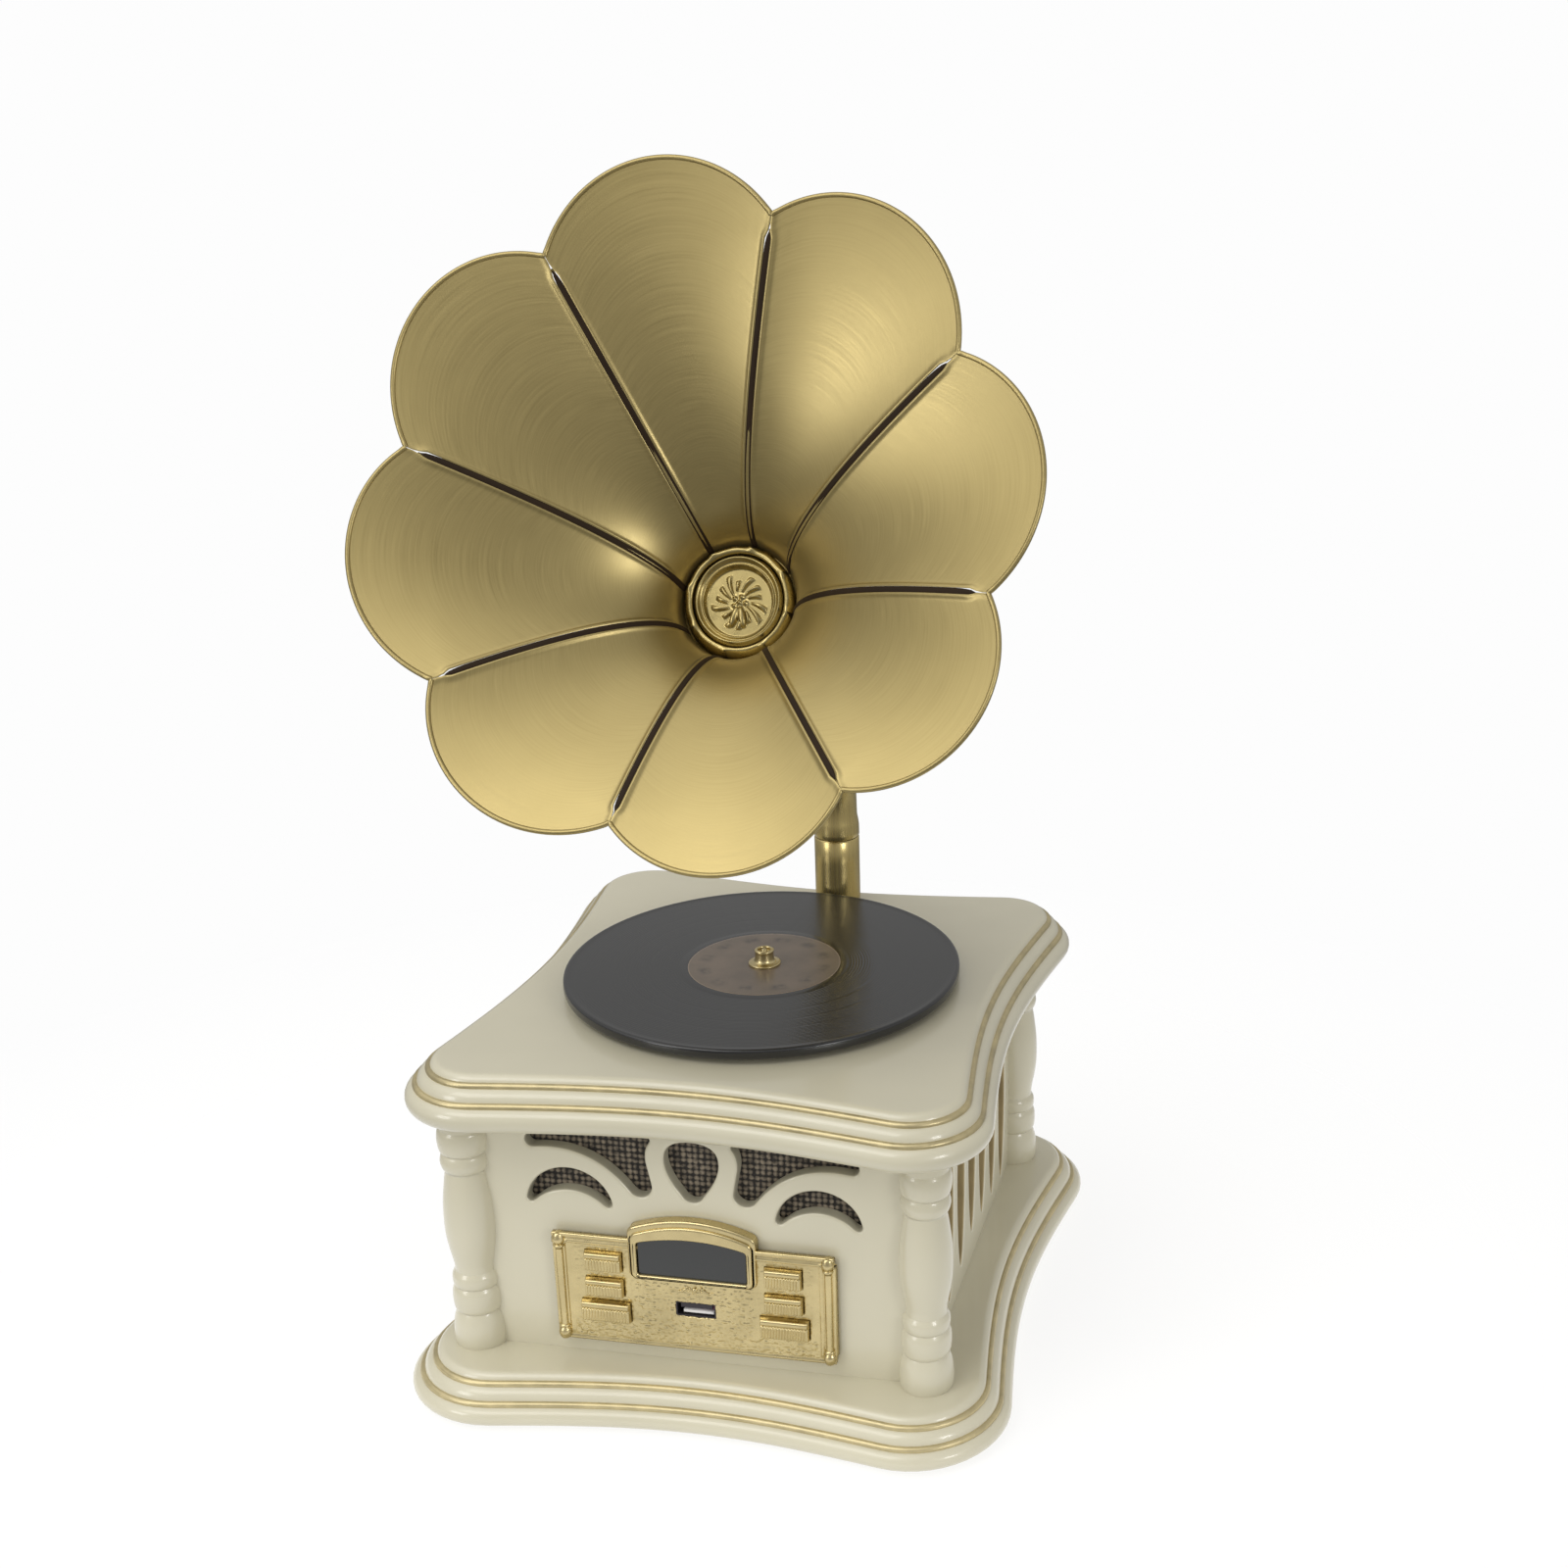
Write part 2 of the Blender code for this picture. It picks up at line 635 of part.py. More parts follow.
def keys():
    """(name, middle x, middle z, width, height) of each key."""
    found = []
    for side, word in ((-1, "left"), (1, "right")):
        for row, (middle, width, height) in enumerate(KEY_ROWS, 1):
            found.append((f"key_{word}_{row}", side * KEY_X, middle, width, height))
    return found


def make_bezel():
    plate = prism(bezel_outline(), BEZEL_FACE, FRONT - GAP, on_front)
    bezel = add_object("control_bezel", plate, gilt(), smooth=False)
    for side in (-1, 1):
        place = Matrix.Translation((side * BALL_X, BEZEL_FACE, 0))
        rail = cylinder(RAIL_RADIUS, BALL_LOW, BALL_HIGH, 8, place)
        combine(bezel, add_cutter(f"rail_{side}", rail), "UNION")
        for end, height in (("low", BALL_LOW), ("high", BALL_HIGH)):
            ball = bmesh.new()
            place = Matrix.Translation((side * BALL_X, BEZEL_FACE - BALL_PROUD, height))
            bmesh.ops.create_icosphere(ball, subdivisions=2, radius=BALL_RADIUS, matrix=place)
            combine(bezel, add_cutter(f"ball_{side}_{end}", ball), "UNION")
    opening = prism(window_outline(0), BEZEL_FACE - 0.005, FRONT + 0.005, on_front)
    combine(bezel, add_cutter("cut_window", opening))
    half_x = USB_WIDTH / 2 + GAP
    half_z = USB_HEIGHT / 2 + GAP
    slot = box((-half_x, BEZEL_FACE - 0.005, USB_Z - half_z), (half_x, FRONT + 0.005, USB_Z + half_z))
    combine(bezel, add_cutter("cut_usb", slot))
    for name, x, z, width, height in keys():
        half_x = width / 2 + KEY_CLEARANCE
        half_z = height / 2 + KEY_CLEARANCE
        slot = box((x - half_x, BEZEL_FACE - 0.005, z - half_z), (x + half_x, FRONT + 0.005, z + half_z))
        combine(bezel, add_cutter(f"cut_{name}", slot))


def make_window():
    pane = prism(window_outline(WINDOW_LAP), FRONT, FRONT + WINDOW_THICK, on_front)
    add_object("display_window", pane, material("smoked_pane", (0.04, 0.04, 0.045), 0.12), smooth=False)


def make_display():
    near = FRONT + WINDOW_THICK + GAP
    far = FRONT + PANEL_THICK
    block = box((-WINDOW_HALF, near, WINDOW_FOOT), (WINDOW_HALF, far, WINDOW_CROWN))
    add_object("display_module", block, black_plastic(), smooth=False)


def make_keys():
    for name, x, z, width, height in keys():
        cap = box(
            (x - width / 2, BEZEL_FACE - KEY_PROUD, z - height / 2),
            (x + width / 2, FRONT + KEY_FLANGE / 2, z + height / 2),
        )
        key = add_object(name, cap, gilt(), smooth=False)
        wide = width / 2 + KEY_FLANGE
        tall = height / 2 + KEY_FLANGE
        flange = box((x - wide, FRONT, z - tall), (x + wide, FRONT + KEY_FLANGE, z + tall))
        combine(key, add_cutter(f"flange_{name}", flange), "UNION")


def make_control_board():
    near = FRONT + PANEL_THICK + GAP
    half = HATCH_HALF + BOARD_LAP
    low = (-half, near, HATCH_FOOT - BOARD_LAP)
    high = (half, near + BOARD_THICK, CRESCENT_Z - 0.0010)
    board = add_object("control_board", box(low, high), board_green(), smooth=False)
    switch_face = FRONT + KEY_FLANGE + KEY_TRAVEL + GAP
    for name, x, z, width, height in keys():
        body = box((x - 0.003, switch_face, z - 0.003), (x + 0.003, near + BOARD_THICK / 2, z + 0.003))
        combine(board, add_cutter(f"switch_{name}", body), "UNION")
    half_x = USB_WIDTH / 2 + GAP
    half_z = USB_HEIGHT / 2 + GAP
    slot = box((-half_x, near - 0.005, USB_Z - half_z), (half_x, near + 0.005, USB_Z + half_z))
    combine(board, add_cutter("cut_board_usb", slot))


def make_usb_socket():
    near = BEZEL_FACE + GAP
    far = near + USB_LENGTH
    half_x = USB_WIDTH / 2
    half_z = USB_HEIGHT / 2
    shell = box((-half_x, near, USB_Z - half_z), (half_x, far, USB_Z + half_z))
    socket = add_object("usb_socket", shell, steel(), smooth=False)
    inner_x = half_x - USB_WALL
    inner_z = half_z - USB_WALL
    hollow = box((-inner_x, near - 0.005, USB_Z - inner_z), (inner_x, far - 0.002, USB_Z + inner_z))
    combine(socket, add_cutter("cut_usb_hollow", hollow))
    tongue_top = USB_Z + inner_z - 0.0005
    tongue = box((-inner_x + 0.001, near + 0.001, USB_Z), (inner_x - 0.001, far - 0.001, tongue_top))
    combine(socket, add_cutter("usb_tongue", tongue), "UNION")


# ---------------------------------------------------------------- sound and power


def make_speakers():
    for name, side in (("left", -1), ("right", 1)):
        face = BODY_HALF_X - PANEL_THICK - GAP - CLOTH_THICK - GAP
        turn = along_x(0, SPEAKER_Z, side)
        back = face - SPEAKER_DEPTH
        basket = (
            (CONE_RADIUS + GAP, face), (SPEAKER_RADIUS, face), (SPEAKER_RADIUS, face - 0.0015),
            (CONE_RADIUS + 0.0015, face - 0.0030), (MAGNET_RADIUS, back + 0.0100), (MAGNET_RADIUS, back),
            (0.0030, back), (0.0030, back + 0.0110), (MAGNET_RADIUS - 0.0020, back + 0.0110),
            (CONE_RADIUS + GAP, face - 0.0036),
        )
        add_object(f"speaker_{name}_basket", turned(basket, 16, turn), steel())
        cone = (
            (0, back + 0.0120), (0.0080, back + 0.0120), (CONE_RADIUS - 0.0040, face - 0.0050),
            (CONE_RADIUS, face - 0.0020), (CONE_RADIUS, face - 0.0008),
            (CONE_RADIUS - 0.0045, face - 0.0038), (0.0075, back + 0.0140), (0, back + 0.0160),
        )
        paper = material("speaker_cone", (0.03, 0.03, 0.03), 0.85)
        add_object(f"speaker_{name}_cone", turned(cone, 16, turn), paper)


def make_main_board():
    low = (-BOARD_HALF_X, -BOARD_HALF_Y, BOARD_LIFT + GAP)
    high = (BOARD_HALF_X, BOARD_HALF_Y, BOARD_LIFT + GAP + BOARD_THICK)
    board = add_object("main_board", box(low, high), board_green(), smooth=False)
    top = high[2] - BOARD_THICK / 2
    chips = ((-0.030, -0.012, 0.018, 0.006), (0.004, 0.004, 0.012, 0.002), (0.030, 0.010, 0.014, 0.010))
    for i, (x, y, size, height) in enumerate(chips):
        block = box((x - size / 2, y - size / 2, top), (x + size / 2, y + size / 2, high[2] + height))
        combine(board, add_cutter(f"chip_{i}", block), "UNION")


def make_power_inlet():
    outer = BODY_HALF_Y + 0.0010
    inner = BODY_HALF_Y - 0.0120
    body = ((INLET_BORE, outer), (INLET_RADIUS + 0.0015, outer), (INLET_RADIUS + 0.0015, BODY_HALF_Y + GAP),
            (INLET_RADIUS, BODY_HALF_Y + GAP), (INLET_RADIUS, inner), (INLET_BORE, inner))
    add_object("power_inlet", turned(body, 16, along_y(INLET_X, INLET_Z)), black_plastic())


# ---------------------------------------------------------------- turntable


def make_drive():
    place = Matrix.Translation((0, RECORD_Y, 0))
    top = LID_BASE - GAP
    can = cylinder(MOTOR_RADIUS, top - MOTOR_LENGTH, top - 0.0005, 24, place)
    motor = add_object("gear_motor", can, steel())
    reach = MOTOR_RADIUS + EAR_LENGTH
    low = (-reach, RECORD_Y - EAR_HALF, top - EAR_THICK)
    ears = box(low, (reach, RECORD_Y + EAR_HALF, top))
    combine(motor, add_cutter("motor_ears", ears), "UNION")
    socket = cylinder(SPINDLE_RADIUS + GAP, top - MOTOR_SOCKET, top + 0.01, 16, place)
    combine(motor, add_cutter("cut_motor_socket", socket))
    bush = ring(SPINDLE_RADIUS + GAP, BUSH_RADIUS, LID_BASE + GAP, LID_TOP, 24, place)
    add_object("spindle_bush", bush, material("bush_bronze", (0.55, 0.38, 0.18), 0.4, 1.0))


def make_turntable():
    axis = add_empty("turntable_axis", (0, RECORD_Y, 0))
    shaft_base = LID_BASE - MOTOR_SOCKET + 0.0010
    shaft = cylinder(SPINDLE_RADIUS, shaft_base, RECORD_TOP + SPINDLE_PROUD, 16)
    add_object("spindle", shaft, steel(), axis)
    bore = SPINDLE_RADIUS + GAP
    base = LID_TOP + PLATTER_LIFT
    platter = ring(bore, PLATTER_RADIUS, base, base + PLATTER_THICK, 32)
    add_object("platter", platter, black_plastic(), axis)
    disc = (
        (bore, RECORD_BASE), (RECORD_RADIUS - 0.0006, RECORD_BASE), (RECORD_RADIUS, RECORD_BASE + 0.0006),
        (RECORD_RADIUS, RECORD_TOP - 0.0006), (RECORD_RADIUS - 0.0006, RECORD_TOP), (bore, RECORD_TOP),
    )
    add_object("record", turned(disc, 40), material("record_black", (0.03, 0.03, 0.032), 0.18), axis)
    low = RECORD_TOP + GAP
    top = RECORD_TOP + CAP_HEIGHT
    ceiling = RECORD_TOP + SPINDLE_PROUD + GAP
    cap = (
        (bore, ceiling), (bore, low), (CAP_FLANGE, low), (CAP_FLANGE, low + 0.0008),
        (CAP_RADIUS, low + 0.0012), (CAP_RADIUS, top - 0.0012), (CAP_RADIUS - 0.0010, top),
        (0, top), (0, ceiling),
    )
    add_object("spindle_cap", turned(cap, 20), gilt(), axis)


# ---------------------------------------------------------------- post and horn


def make_post():
    place = Matrix.Translation((POST_X, POST_Y, 0))
    foot = LID_TOP - POST_SOCKET + GAP
    bore = SPIGOT_RADIUS - POST_WALL
    tube = (
        (bore, foot), (POST_RADIUS, foot), (POST_RADIUS, POST_TOP), (SPIGOT_RADIUS, POST_TOP),
        (SPIGOT_RADIUS, POST_TOP + SPIGOT_LENGTH), (bore, POST_TOP + SPIGOT_LENGTH),
    )
    add_object("post_tube", turned(tube, 24, place), brass())


def place_in_horn(depth, radius, angle):
    """A point at this depth behind the mouth, on a circle parallel to the mouth round the slanting axis."""
    middle = MOUTH - depth * MOUTH_AXIS - depth * (HORN_DROP / HORN_DEPTH) * MOUTH_UP
    return middle + radius * cos(angle) * Vector((1, 0, 0)) + radius * sin(angle) * MOUTH_UP


def lobe_edge(angle):
    """How far a petal reaches at this angle from its middle: an arc through its tip and both notches."""
    half = pi / PETALS
    chord = NOTCH_RADIUS * sin(half)
    rise = PETAL_RADIUS - NOTCH_RADIUS * cos(half)
    radius = (chord * chord + rise * rise) / (2 * rise)
    middle = PETAL_RADIUS - radius
    return middle * cos(angle) + sqrt(max(radius * radius - (middle * sin(angle)) ** 2, 0))


def flare(radius):
    """Depth behind the mouth of the bell's surface at this radius."""
    along = sqrt(max((radius - THROAT_RADIUS) / (NOTCH_RADIUS - THROAT_RADIUS), 0))
    return HORN_DEPTH * (1 - along)


def make_petals(horn_axis):
    for number in range(PETALS):
        centre = pi / 2 + PETAL_TURN - number * 2 * pi / PETALS
        shape = bmesh.new()
        grid = []
        for row in range(PETAL_ROWS + 1):
            line = []
            for column in range(PETAL_COLUMNS + 1):
                across = 2 * column / PETAL_COLUMNS - 1
                edge = lobe_edge(across * pi / PETALS)
                whole = sqrt((edge - THROAT_RADIUS) / (NOTCH_RADIUS - THROAT_RADIUS))
                along = row / PETAL_ROWS * whole
                radius = THROAT_RADIUS + (NOTCH_RADIUS - THROAT_RADIUS) * along * along
                angle = centre + across * (pi / PETALS - SEAM_GAP / 2 / radius)
                depth = flare(radius) + PETAL_DISH * along * (1 - across * across)
                line.append(shape.verts.new(place_in_horn(depth, radius, angle)))
            grid.append(line)
        for lower, upper in zip(grid, grid[1:]):
            for i in range(PETAL_COLUMNS):
                shape.faces.new((lower[i], lower[i + 1], upper[i + 1], upper[i]))
        petal = add_object(f"petal_{number + 1}", shape, brass(), horn_axis)
        if petal.data.polygons[-1].normal.dot(MOUTH_AXIS) < 0:
            petal.data.flip_normals()
        sheet = petal.modifiers.new("sheet", "SOLIDIFY")
        sheet.thickness = SHEET
        sheet.offset = -1


def tube_between(sections, sides, wall):
    """A tube through (middle, axis, radius) sections, open along its whole length."""
    shape = bmesh.new()
    rings = []
    for inset in (0, wall):
        skin = []
        for middle, axis, radius in sections:
            up = axis.cross(Vector((1, 0, 0))).normalized()
            circle = []
            for i in range(sides):
                angle = 2 * pi * i / sides
                reach = radius - inset
                point = middle + reach * cos(angle) * Vector((1, 0, 0)) + reach * sin(angle) * up
                circle.append(shape.verts.new(point))
            skin.append(circle)
        rings += skin if inset == 0 else skin[::-1]
    join_rings(shape, rings, loop=True)
    return shape


def elbow_bend():
    """The angle that the elbow turns through, and the height where its bend starts."""
    angle = acos(NECK_AXIS.z)
    rise = (THROAT.z - THROAT.y * NECK_AXIS.z / NECK_AXIS.y) - ELBOW_RADIUS * sin(angle)
    rise += ELBOW_RADIUS * (1 - cos(angle)) * NECK_AXIS.z / -NECK_AXIS.y
    return angle, rise


def bend_point(angle, start):
    middle = Vector((0, -ELBOW_RADIUS * (1 - cos(angle)), start + ELBOW_RADIUS * sin(angle)))
    return middle, Vector((0, -sin(angle), cos(angle)))


def make_elbow(horn_axis):
    whole, start = elbow_bend()
    up = Vector((0, 0, 1))
    foot = POST_TOP + GAP
    sections = [(Vector((0, 0, foot)), up, ELBOW_FOOT_RADIUS)]
    sections.append((Vector((0, 0, foot + 0.0060)), up, ELBOW_FOOT_RADIUS - 0.0001))
    steps = 5
    for i in range(steps + 1):
        middle, axis = bend_point(whole * i / steps, start)
        sections.append((middle, axis, ELBOW_TUBE_RADIUS))
    add_object("elbow", tube_between(sections, HORN_SIDES, TUBE_WALL), brass(), horn_axis)


def neck_ends():
    """The neck's first middle and axis, behind the elbow, and its last middle, at the throat."""
    whole, start = elbow_bend()
    foot, axis = bend_point(whole, start)
    return foot + GAP * axis, axis, place_in_horn(HORN_DEPTH + 2 * GAP, 0, 0)


def neck_radius(t):
    return ELBOW_TUBE_RADIUS + (THROAT_RADIUS + SHEET - ELBOW_TUBE_RADIUS) * t ** NECK_FLARE


def make_neck(horn_axis):
    """A cone from the elbow to the throat, whose last section lies parallel to the mouth."""
    foot, axis, end = neck_ends()
    sections = []
    steps = 6
    for i in range(steps + 1):
        t = i / steps
        lean = max(0, (t - 0.5) * 2)
        section_axis = (axis * (1 - lean) + MOUTH_AXIS * lean).normalized()
        sections.append((foot.lerp(end, t), section_axis, neck_radius(t)))
    add_object("neck", tube_between(sections, HORN_SIDES, TUBE_WALL), brass(), horn_axis)


def horn_ring(profile, sides, closed_middle=False):
    """A (depth, radius) profile taken round the slanting axis of the horn."""
    shape = bmesh.new()
    rings = []
    for depth, radius in profile:
        circle = [shape.verts.new(place_in_horn(depth, radius, 2 * pi * i / sides)) for i in range(sides)]
        rings.append(circle)
    join_rings(shape, rings, loop=not closed_middle)
    return shape


def make_throat(horn_axis):
    outer = THROAT_RADIUS - 2 * GAP
    foot, end = neck_ends()[::2]
    behind = (SKIRT_LENGTH - 2 * GAP) * (MOUTH - THROAT).length / HORN_DEPTH
    skirt = neck_radius(1 - behind / (end - foot).length) - TUBE_WALL - SKIRT_CLEARANCE
    collar = (
        (HORN_DEPTH + SKIRT_LENGTH, skirt), (HORN_DEPTH - 0.0010, outer),
        (HORN_DEPTH - 0.0036, outer - 0.0006), (HORN_DEPTH - 0.0046, outer - 0.0018),
        (HORN_DEPTH - 0.0040, COLLAR_INNER), (HORN_DEPTH + SKIRT_LENGTH, COLLAR_INNER),
    )
    add_object("throat_collar", horn_ring(collar, HORN_SIDES), brass(), horn_axis)
    front = HORN_DEPTH - 0.0040
    rosette = (
        (front + 0.0050, ROSETTE_RADIUS), (front + 0.0002, ROSETTE_RADIUS),
        (front - 0.0012, ROSETTE_RADIUS - 0.0008),
        (front - 0.0004, ROSETTE_RADIUS - 0.0022), (front + 0.0006, ROSETTE_RADIUS - 0.0030),
        (front - 0.0006, 0.0040), (front - 0.0018, 0.0018),
    )
    add_object("throat_rosette", horn_ring(rosette, HORN_SIDES, closed_middle=True), gilt(), horn_axis)


def make_horn():
    make_post()
    horn_axis = add_empty("horn_axis", (POST_X, POST_Y, 0), HORN_TURN)
    make_elbow(horn_axis)
    make_neck(horn_axis)
    make_throat(horn_axis)
    make_petals(horn_axis)


def make_body():
    """Makes what stands between the plinth and the lid, about the body's own middle, and seats it."""
    others = set(bpy.data.objects)
    make_front_panel()
    make_side_panels()
    make_back_panel()
    make_cloths()
    make_columns()
    make_bezel()
    make_window()
    make_display()
    make_keys()
    make_control_board()
    make_usb_socket()
    make_speakers()
    make_power_inlet()
    body = set(bpy.data.objects) - others
    middle = add_empty("body_middle", (BODY_X, 0, 0))
    for piece in body:
        piece.parent = middle


def main():
    clear_scene()
    make_plinth()
    make_bottom_cover()
    make_feet()
    make_body()
    make_lid()
    make_main_board()
    make_drive()
    make_turntable()
    make_horn()


main()
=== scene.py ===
"""Finished looks for a tabletop gramophone-style loudspeaker: lacquered case, gilt control panel,
record and eight-petal brass horn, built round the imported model.

Shapes are worked out in millimetres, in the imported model's own frame, and put into meshes in metres.
"""

from math import acos, atan2, cos, pi, radians, sin

import bmesh
import bpy
import numpy as np
from bpy.props import FloatProperty, FloatVectorProperty, IntProperty, PointerProperty
from mathutils import Matrix, Vector
from mathutils.geometry import tessellate_polygon


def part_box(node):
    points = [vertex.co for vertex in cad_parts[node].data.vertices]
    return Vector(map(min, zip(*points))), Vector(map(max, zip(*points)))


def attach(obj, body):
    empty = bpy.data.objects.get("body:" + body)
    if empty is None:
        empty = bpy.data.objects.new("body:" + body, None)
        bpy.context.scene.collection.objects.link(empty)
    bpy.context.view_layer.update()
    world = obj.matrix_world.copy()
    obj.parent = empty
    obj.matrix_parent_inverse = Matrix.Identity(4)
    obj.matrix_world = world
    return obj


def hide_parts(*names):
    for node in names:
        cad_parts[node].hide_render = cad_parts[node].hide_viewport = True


bl_info = {
    "name": "Gramophone loudspeaker",
    "version": (1, 0, 0),
    "blender": (4, 5, 0),
    "location": "View3D > Sidebar > Gramophone",
    "description": "Builds the finished pieces of a gramophone-style tabletop loudspeaker",
    "category": "Object",
}

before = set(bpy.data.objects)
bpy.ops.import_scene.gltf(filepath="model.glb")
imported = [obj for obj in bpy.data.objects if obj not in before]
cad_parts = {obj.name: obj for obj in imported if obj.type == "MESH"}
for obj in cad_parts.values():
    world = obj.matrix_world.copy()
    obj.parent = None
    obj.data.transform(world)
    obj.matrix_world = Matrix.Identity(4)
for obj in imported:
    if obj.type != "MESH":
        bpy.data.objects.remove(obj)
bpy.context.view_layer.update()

MM = 0.001


def box_mm(node):
    """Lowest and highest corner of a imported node, in millimetres."""
    low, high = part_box(node)
    return np.array(low) / MM, np.array(high) / MM


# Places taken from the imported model
LID_BASE, LID_TOP = box_mm("lid")[0][2], box_mm("lid")[1][2]
PLINTH_BASE, PLINTH_TOP = box_mm("plinth")[0][2], box_mm("plinth")[1][2]
FRONT = box_mm("front_panel")[0][1]
BACK = box_mm("back_panel")[1][1]
BODY_LEFT, BODY_RIGHT = box_mm("left_panel")[0][0], box_mm("right_panel")[1][0]
BODY_X, SIDE = (BODY_LEFT + BODY_RIGHT) / 2, (BODY_RIGHT - BODY_LEFT) / 2
PANEL_THICK = 4.5
BEZEL_FACE = FRONT - 2.5
RECORD_LOW, RECORD_HIGH = box_mm("record")
RECORD_Y = (RECORD_LOW[1] + RECORD_HIGH[1]) / 2
RECORD_RADIUS = (RECORD_HIGH[0] - RECORD_LOW[0]) / 2
RECORD_BASE, RECORD_TOP = RECORD_LOW[2], RECORD_HIGH[2]
POST_LOW, POST_HIGH = box_mm("post_tube")
POST = (POST_LOW + POST_HIGH) / 2

# The stepped edge of the lid and the plinth: (half x, half y, sweep, corner), all to the upper gold line
LID_EDGE = (90.0, 94.0, 7.0, 18.1)
PLINTH_EDGE = (96.8, 101.1, 7.4, 24.3)
EDGE_ROUND, LINE_DROP = 3.0, 3.4
BAND_OUT, BAND_DROP, NOSE_OUT = 4.5, 5.1, 4.1

# The horn, in its own frame: the post's axis is at the origin and the mouth faces -Y
HORN_TURN = radians(-2.1)
HORN_TILT = radians(22.2)
MOUTH = np.array((0.0, -135.5, 304.3))
HORN_DEPTH, HORN_DROP = 51.7, 19.0
THROAT_RADIUS, NOTCH_RADIUS, PETAL_RADIUS = 19.4, 95.7, 110.3
PETALS = 8
PETAL_TURN = radians(12.7)
PETAL_DISH = 1.5
MOUTH_AXIS = np.array((0.0, -cos(HORN_TILT), sin(HORN_TILT)))
MOUTH_UP = np.array((0.0, sin(HORN_TILT), cos(HORN_TILT)))
ACROSS = np.array((1.0, 0.0, 0.0))
POST_TOP = 152.7
ELBOW_RADIUS, ELBOW_FOOT, ELBOW_TUBE = 34.0, 8.8, 8.0


# ---------------------------------------------------------------- surfaces


def grid_faces(rows, columns, wrap_rows=False, wrap_columns=False):
    """Corner numbers and corner (u, v) of the cells of a grid of points."""
    i = np.arange(rows if wrap_rows else rows - 1)[:, None]
    j = np.arange(columns if wrap_columns else columns - 1)[None, :]
    last_row, last_column = (rows if wrap_rows else rows - 1), (columns if wrap_columns else columns - 1)
    above, right = (i + 1) % rows, (j + 1) % columns
    corners = [i * columns + j, i * columns + right, above * columns + right, above * columns + j]
    places = []
    for up, along in ((0, 0), (0, 1), (1, 1), (1, 0)):
        u, v = np.broadcast_arrays((j + along) / last_column, (i + up) / last_row)
        places.append(np.stack([u, v], -1))
    return np.stack(corners, -1), np.stack(places, -2)


def skin(points, wrap_rows=False, wrap_columns=False, keep=None):
    """The surface through an array of points (rows, columns, 3); keep marks the cells that stay."""
    rows, columns = points.shape[:2]
    faces, places = grid_faces(rows, columns, wrap_rows, wrap_columns)
    if keep is not None:
        faces, places = faces[keep], places[keep]
    return points.reshape(-1, 3), faces.reshape(-1, 4), places.reshape(-1, 4, 2)


def shell(front, back):
    """A closed plate between two arrays of points of the same shape, with its four borders joined."""
    walls = [np.stack([front[0], back[0]]), np.stack([front[-1], back[-1]])]
    walls += [np.stack([front[:, 0], back[:, 0]]), np.stack([front[:, -1], back[:, -1]])]
    return [skin(front), skin(back), *(skin(wall) for wall in walls)]


def relief(across, up, height, back, place):
    """A block whose face stands at height(across, up) above zero and whose back is flat."""
    u, v = np.meshgrid(across, up)
    front = place(u, v, -height(u, v))
    flat = place(u, v, np.full_like(u, back))
    walls = [skin(np.stack([front[row], flat[row]])) for row in (0, -1)]
    walls += [skin(np.stack([front[:, column], flat[:, column]])) for column in (0, -1)]
    rim = np.concatenate([flat[0], flat[1:, -1], flat[-1, -2::-1], flat[-2:0:-1, 0]])
    lid = (rim, np.arange(len(rim))[None, :], np.zeros((1, len(rim), 2)))
    return [skin(front), *walls, lid]


def lathe(profile, sides, centre=(0.0, 0.0)):
    """A profile of (radius, height) turned about a vertical axis through the centre."""
    angle = np.linspace(0, 2 * pi, sides, endpoint=False)
    radius, height = np.asarray(profile, float).T[:, :, None]
    x = centre[0] + radius * np.cos(angle)
    y = centre[1] + radius * np.sin(angle)
    return skin(np.stack(np.broadcast_arrays(x, y, height), -1), wrap_columns=True)


def smooth(marks, steps):
    """A curve through the marks: each piece is the cubic whose end slopes are half the chord of its
    neighbours. A mark given twice makes a corner."""
    marks = np.asarray(marks, float)
    start, end = marks[:-1, None], marks[1:, None]
    before = np.concatenate([marks[:1], marks[:-2]])[:, None]
    after = np.concatenate([marks[2:], marks[-1:]])[:, None]
    slope_a, slope_b = (end - before) / 2, (after - start) / 2
    t = (np.arange(steps) / steps)[None, :, None]
    line = (2 * t**3 - 3 * t**2 + 1) * start + (t**3 - 2 * t**2 + t) * slope_a
    line = line + (3 * t**2 - 2 * t**3) * end + (t**3 - t**2) * slope_b
    return np.concatenate([line.reshape(-1, marks.shape[1]), marks[-1:]])


def turning(marks, steps, lift=0.0):
    """A smooth profile for the lathe, raised by lift, whose radius never falls below zero."""
    profile = smooth(marks, steps)
    profile[:, 0] = np.maximum(profile[:, 0], 0)
    profile[:, 1] += lift
    return profile


def unit(vectors):
    """The vectors, each scaled to a length of one."""
    return vectors / np.maximum(np.linalg.norm(vectors, axis=-1, keepdims=True), 1e-9)


